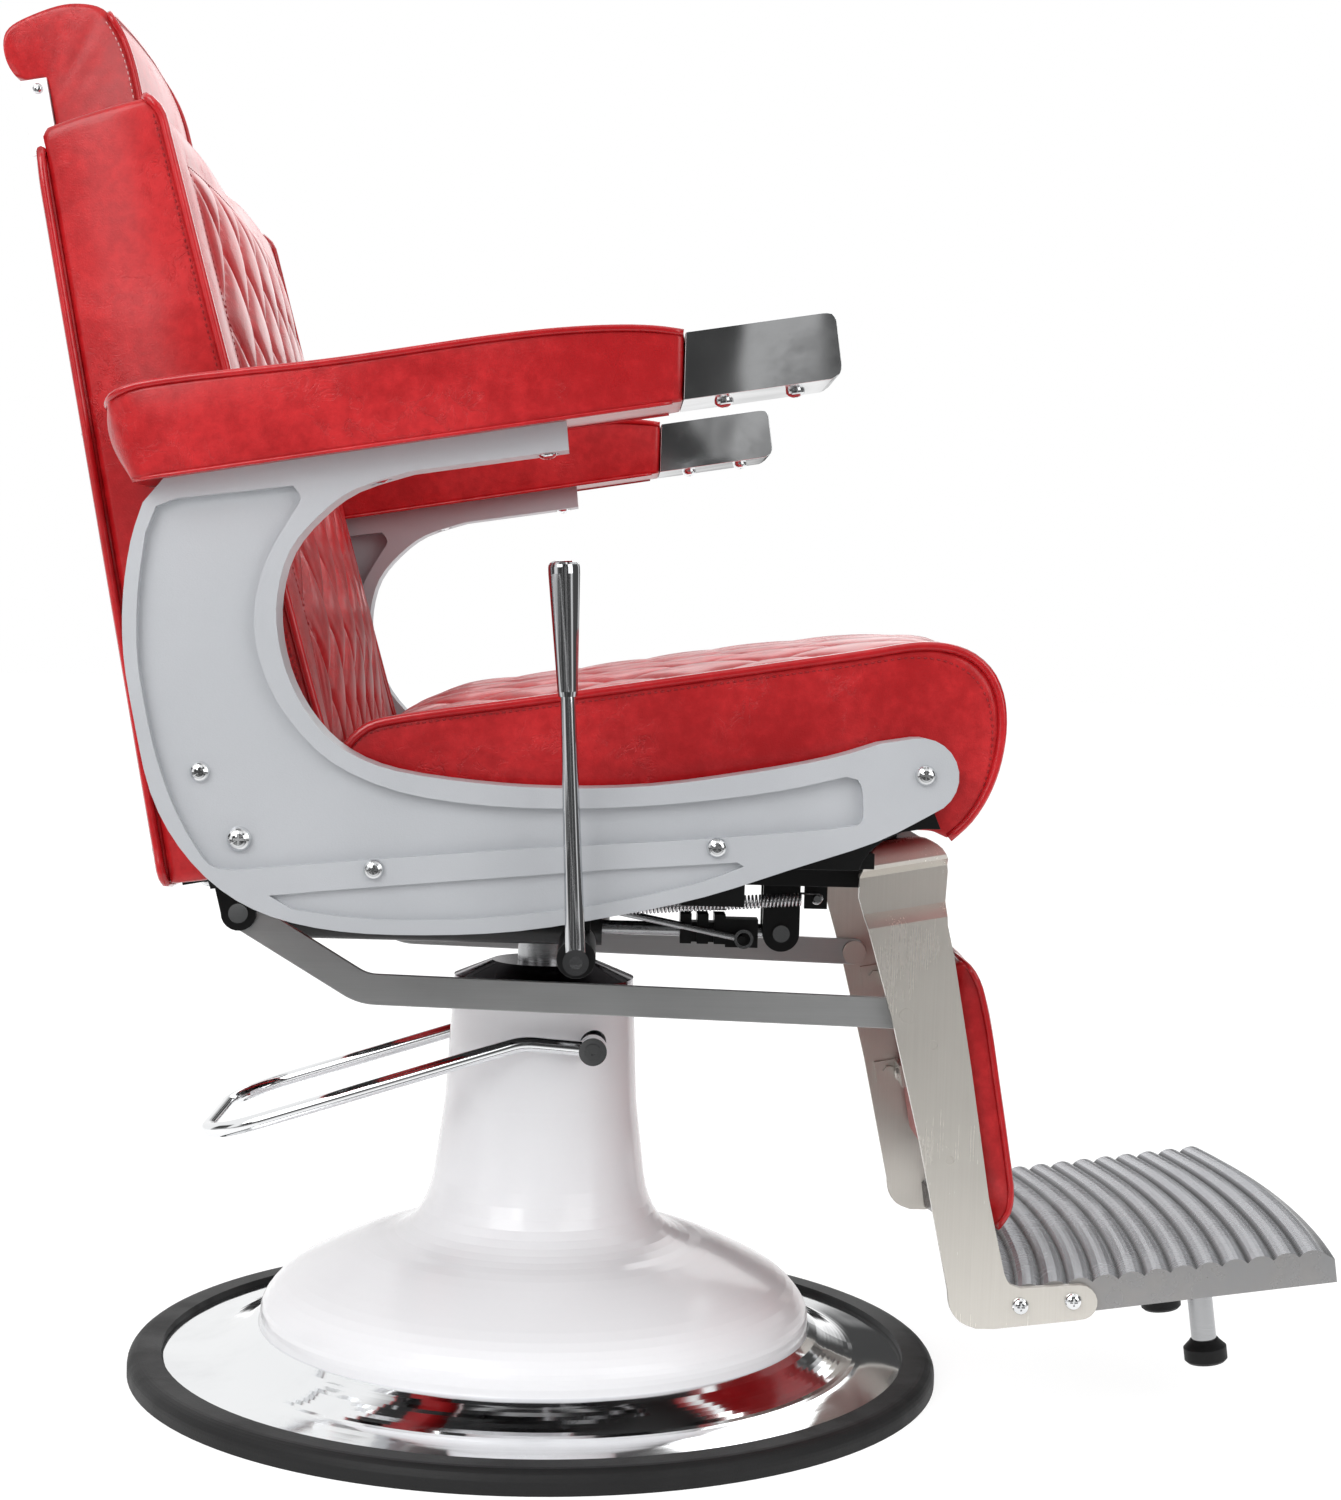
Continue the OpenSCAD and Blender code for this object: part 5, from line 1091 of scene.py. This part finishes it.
def buildWorld(look):
    # White where it is seen, and a softer light on the chair
    world = bpy.data.worlds.new("studio")
    world.use_nodes = True
    scene.world = world
    tree = world.node_tree
    tree.nodes.clear()
    lit, shown = put(tree, "ShaderNodeBackground"), put(tree, "ShaderNodeBackground")
    lit.inputs["Strength"].default_value = look["sky"]
    lit.inputs["Color"].default_value = shown.inputs["Color"].default_value = (1, 1, 1, 1)
    feed(tree, mixShaders(tree, seenDirectly(tree), lit.outputs[0], shown.outputs[0]),
         put(tree, "ShaderNodeOutputWorld").inputs["Surface"])


def buildLamps(look):
    for name, (spot, size, power) in look["lamps"].items():
        lamp = bpy.data.lights.new(name, "AREA")
        lamp.size, lamp.energy = size, power
        holder = bpy.data.objects.new(name, lamp)
        holder.location = spot
        aim = Vector(look["aim"]) - Vector(spot)
        holder.rotation_euler = aim.to_track_quat("-Z", "Y").to_euler()
        scene.collection.objects.link(holder)


# Cards round the set, which only gloss and polished metal see: tone, place, half size, turn
cardLook = {
    "frontCard": (0.04, (0.3, -5.6, 1.6), (7.5, 3.4), (90, 0, 0)),
    "nearFloorCard": (0.06, (0.3, -3.0, 0.01), (6.0, 2.8), (0, 0, 0)),
    "sheenCard": (2.0, (-1.6, -4.6, 1.9), (0.9, 1.2), (90, 0, 0)),
    "stripCardOne": (0.42, (0.48, -5.2, 1.3), (0.12, 1.6), (90, 0, 0)),
    "stripCardTwo": (0.6, (1.5, -5.2, 1.3), (0.1, 1.6), (90, 0, 0)),
    "ceilingCard": (0.03, (0.0, 0.0, 4.2), (2.4, 2.4), (0, 0, 0)),
    "rearCard": (0.06, (2.0, 5.0, 2.4), (3.2, 2.4), (90, 0, 0)),
    "leftCard": (0.05, (-4.8, 0.0, 1.4), (1.6, 2.2), (0, 90, 0)),
    "rightCard": (0.1, (4.4, 0.2, 1.5), (2.2, 3.4), (0, 90, 0))}


cardBands = {"across": (2.1, 0.0, 0.0), "span": (0.5, 0.68), "gain": 12.0, "below": 0.1,
             "fade": (0.3, 0.5)}


def cardMaterial(name, tone):
    # A glowing card that fades out at its rim; the dark ones have paler bands
    material = bpy.data.materials.new(name)
    material.use_nodes = True
    tree = material.node_tree
    tree.nodes.remove(tree.nodes["Principled BSDF"])
    glow = put(tree, "ShaderNodeEmission")
    parts = axes(tree, put(tree, "ShaderNodeTexCoord").outputs["Generated"])
    rims = []
    for k in (0, 1):
        far = calc(tree, "ABSOLUTE", calc(tree, "SUBTRACT", parts[k], 0.5))
        rims.append(remap(tree, far, *cardBands["fade"], 1.0, 0.0))
    if tone < cardBands["below"]:
        bands = noise(tree, stretch(tree, objectPlace(tree), cardBands["across"]), 1.0, 2.0)
        bands = remap(tree, bands, *cardBands["span"], tone, tone * cardBands["gain"])
        feed(tree, bands, glow.inputs["Strength"])
    else:
        glow.inputs["Strength"].default_value = tone
    clear = put(tree, "ShaderNodeBsdfTransparent").outputs[0]
    feed(tree, mixShaders(tree, calc(tree, "MULTIPLY", *rims), clear, glow.outputs[0]),
         tree.nodes["Material Output"].inputs["Surface"])
    return material


def buildCards(look):
    for name, (tone, spot, (w, h), turn) in look.items():
        card = flatSheet(name, w, h, cardMaterial(name, tone))
        card.location = spot
        card.rotation_euler = [math.radians(a) for a in turn]
        card.visible_camera = card.visible_diffuse = card.visible_shadow = False
        card.visible_transmission = False


def buildCamera(look):
    yaw, pitch, roll = look["yaw"], look["pitch"], look["roll"]
    ahead = Vector((math.sin(yaw) * math.cos(pitch), math.cos(yaw) * math.cos(pitch),
                    -math.sin(pitch)))
    right = Vector((math.cos(yaw), -math.sin(yaw), 0))
    up = right.cross(ahead)
    tiltedRight = right * math.cos(roll) + up * math.sin(roll)
    tiltedUp = up * math.cos(roll) - right * math.sin(roll)
    lens = bpy.data.cameras.new("camera")
    lens.lens = look["focal"] / look["imageHeight"] * lens.sensor_width
    lens.clip_start, lens.clip_end = 0.05, 100
    camera = bpy.data.objects.new("camera", lens)
    turned = Matrix((tiltedRight, tiltedUp, -ahead)).transposed().to_4x4()
    camera.matrix_world = Matrix.Translation(look["cameraSpot"]) @ turned
    scene.collection.objects.link(camera)
    scene.camera = camera


buildFloor(studioLook)
buildWorld(studioLook)
buildLamps(studioLook)
buildCards(cardLook)
buildCamera(studioLook)
scene.view_settings.view_transform = "Standard"
print("studio ready")

bpy.context.view_layer.update()
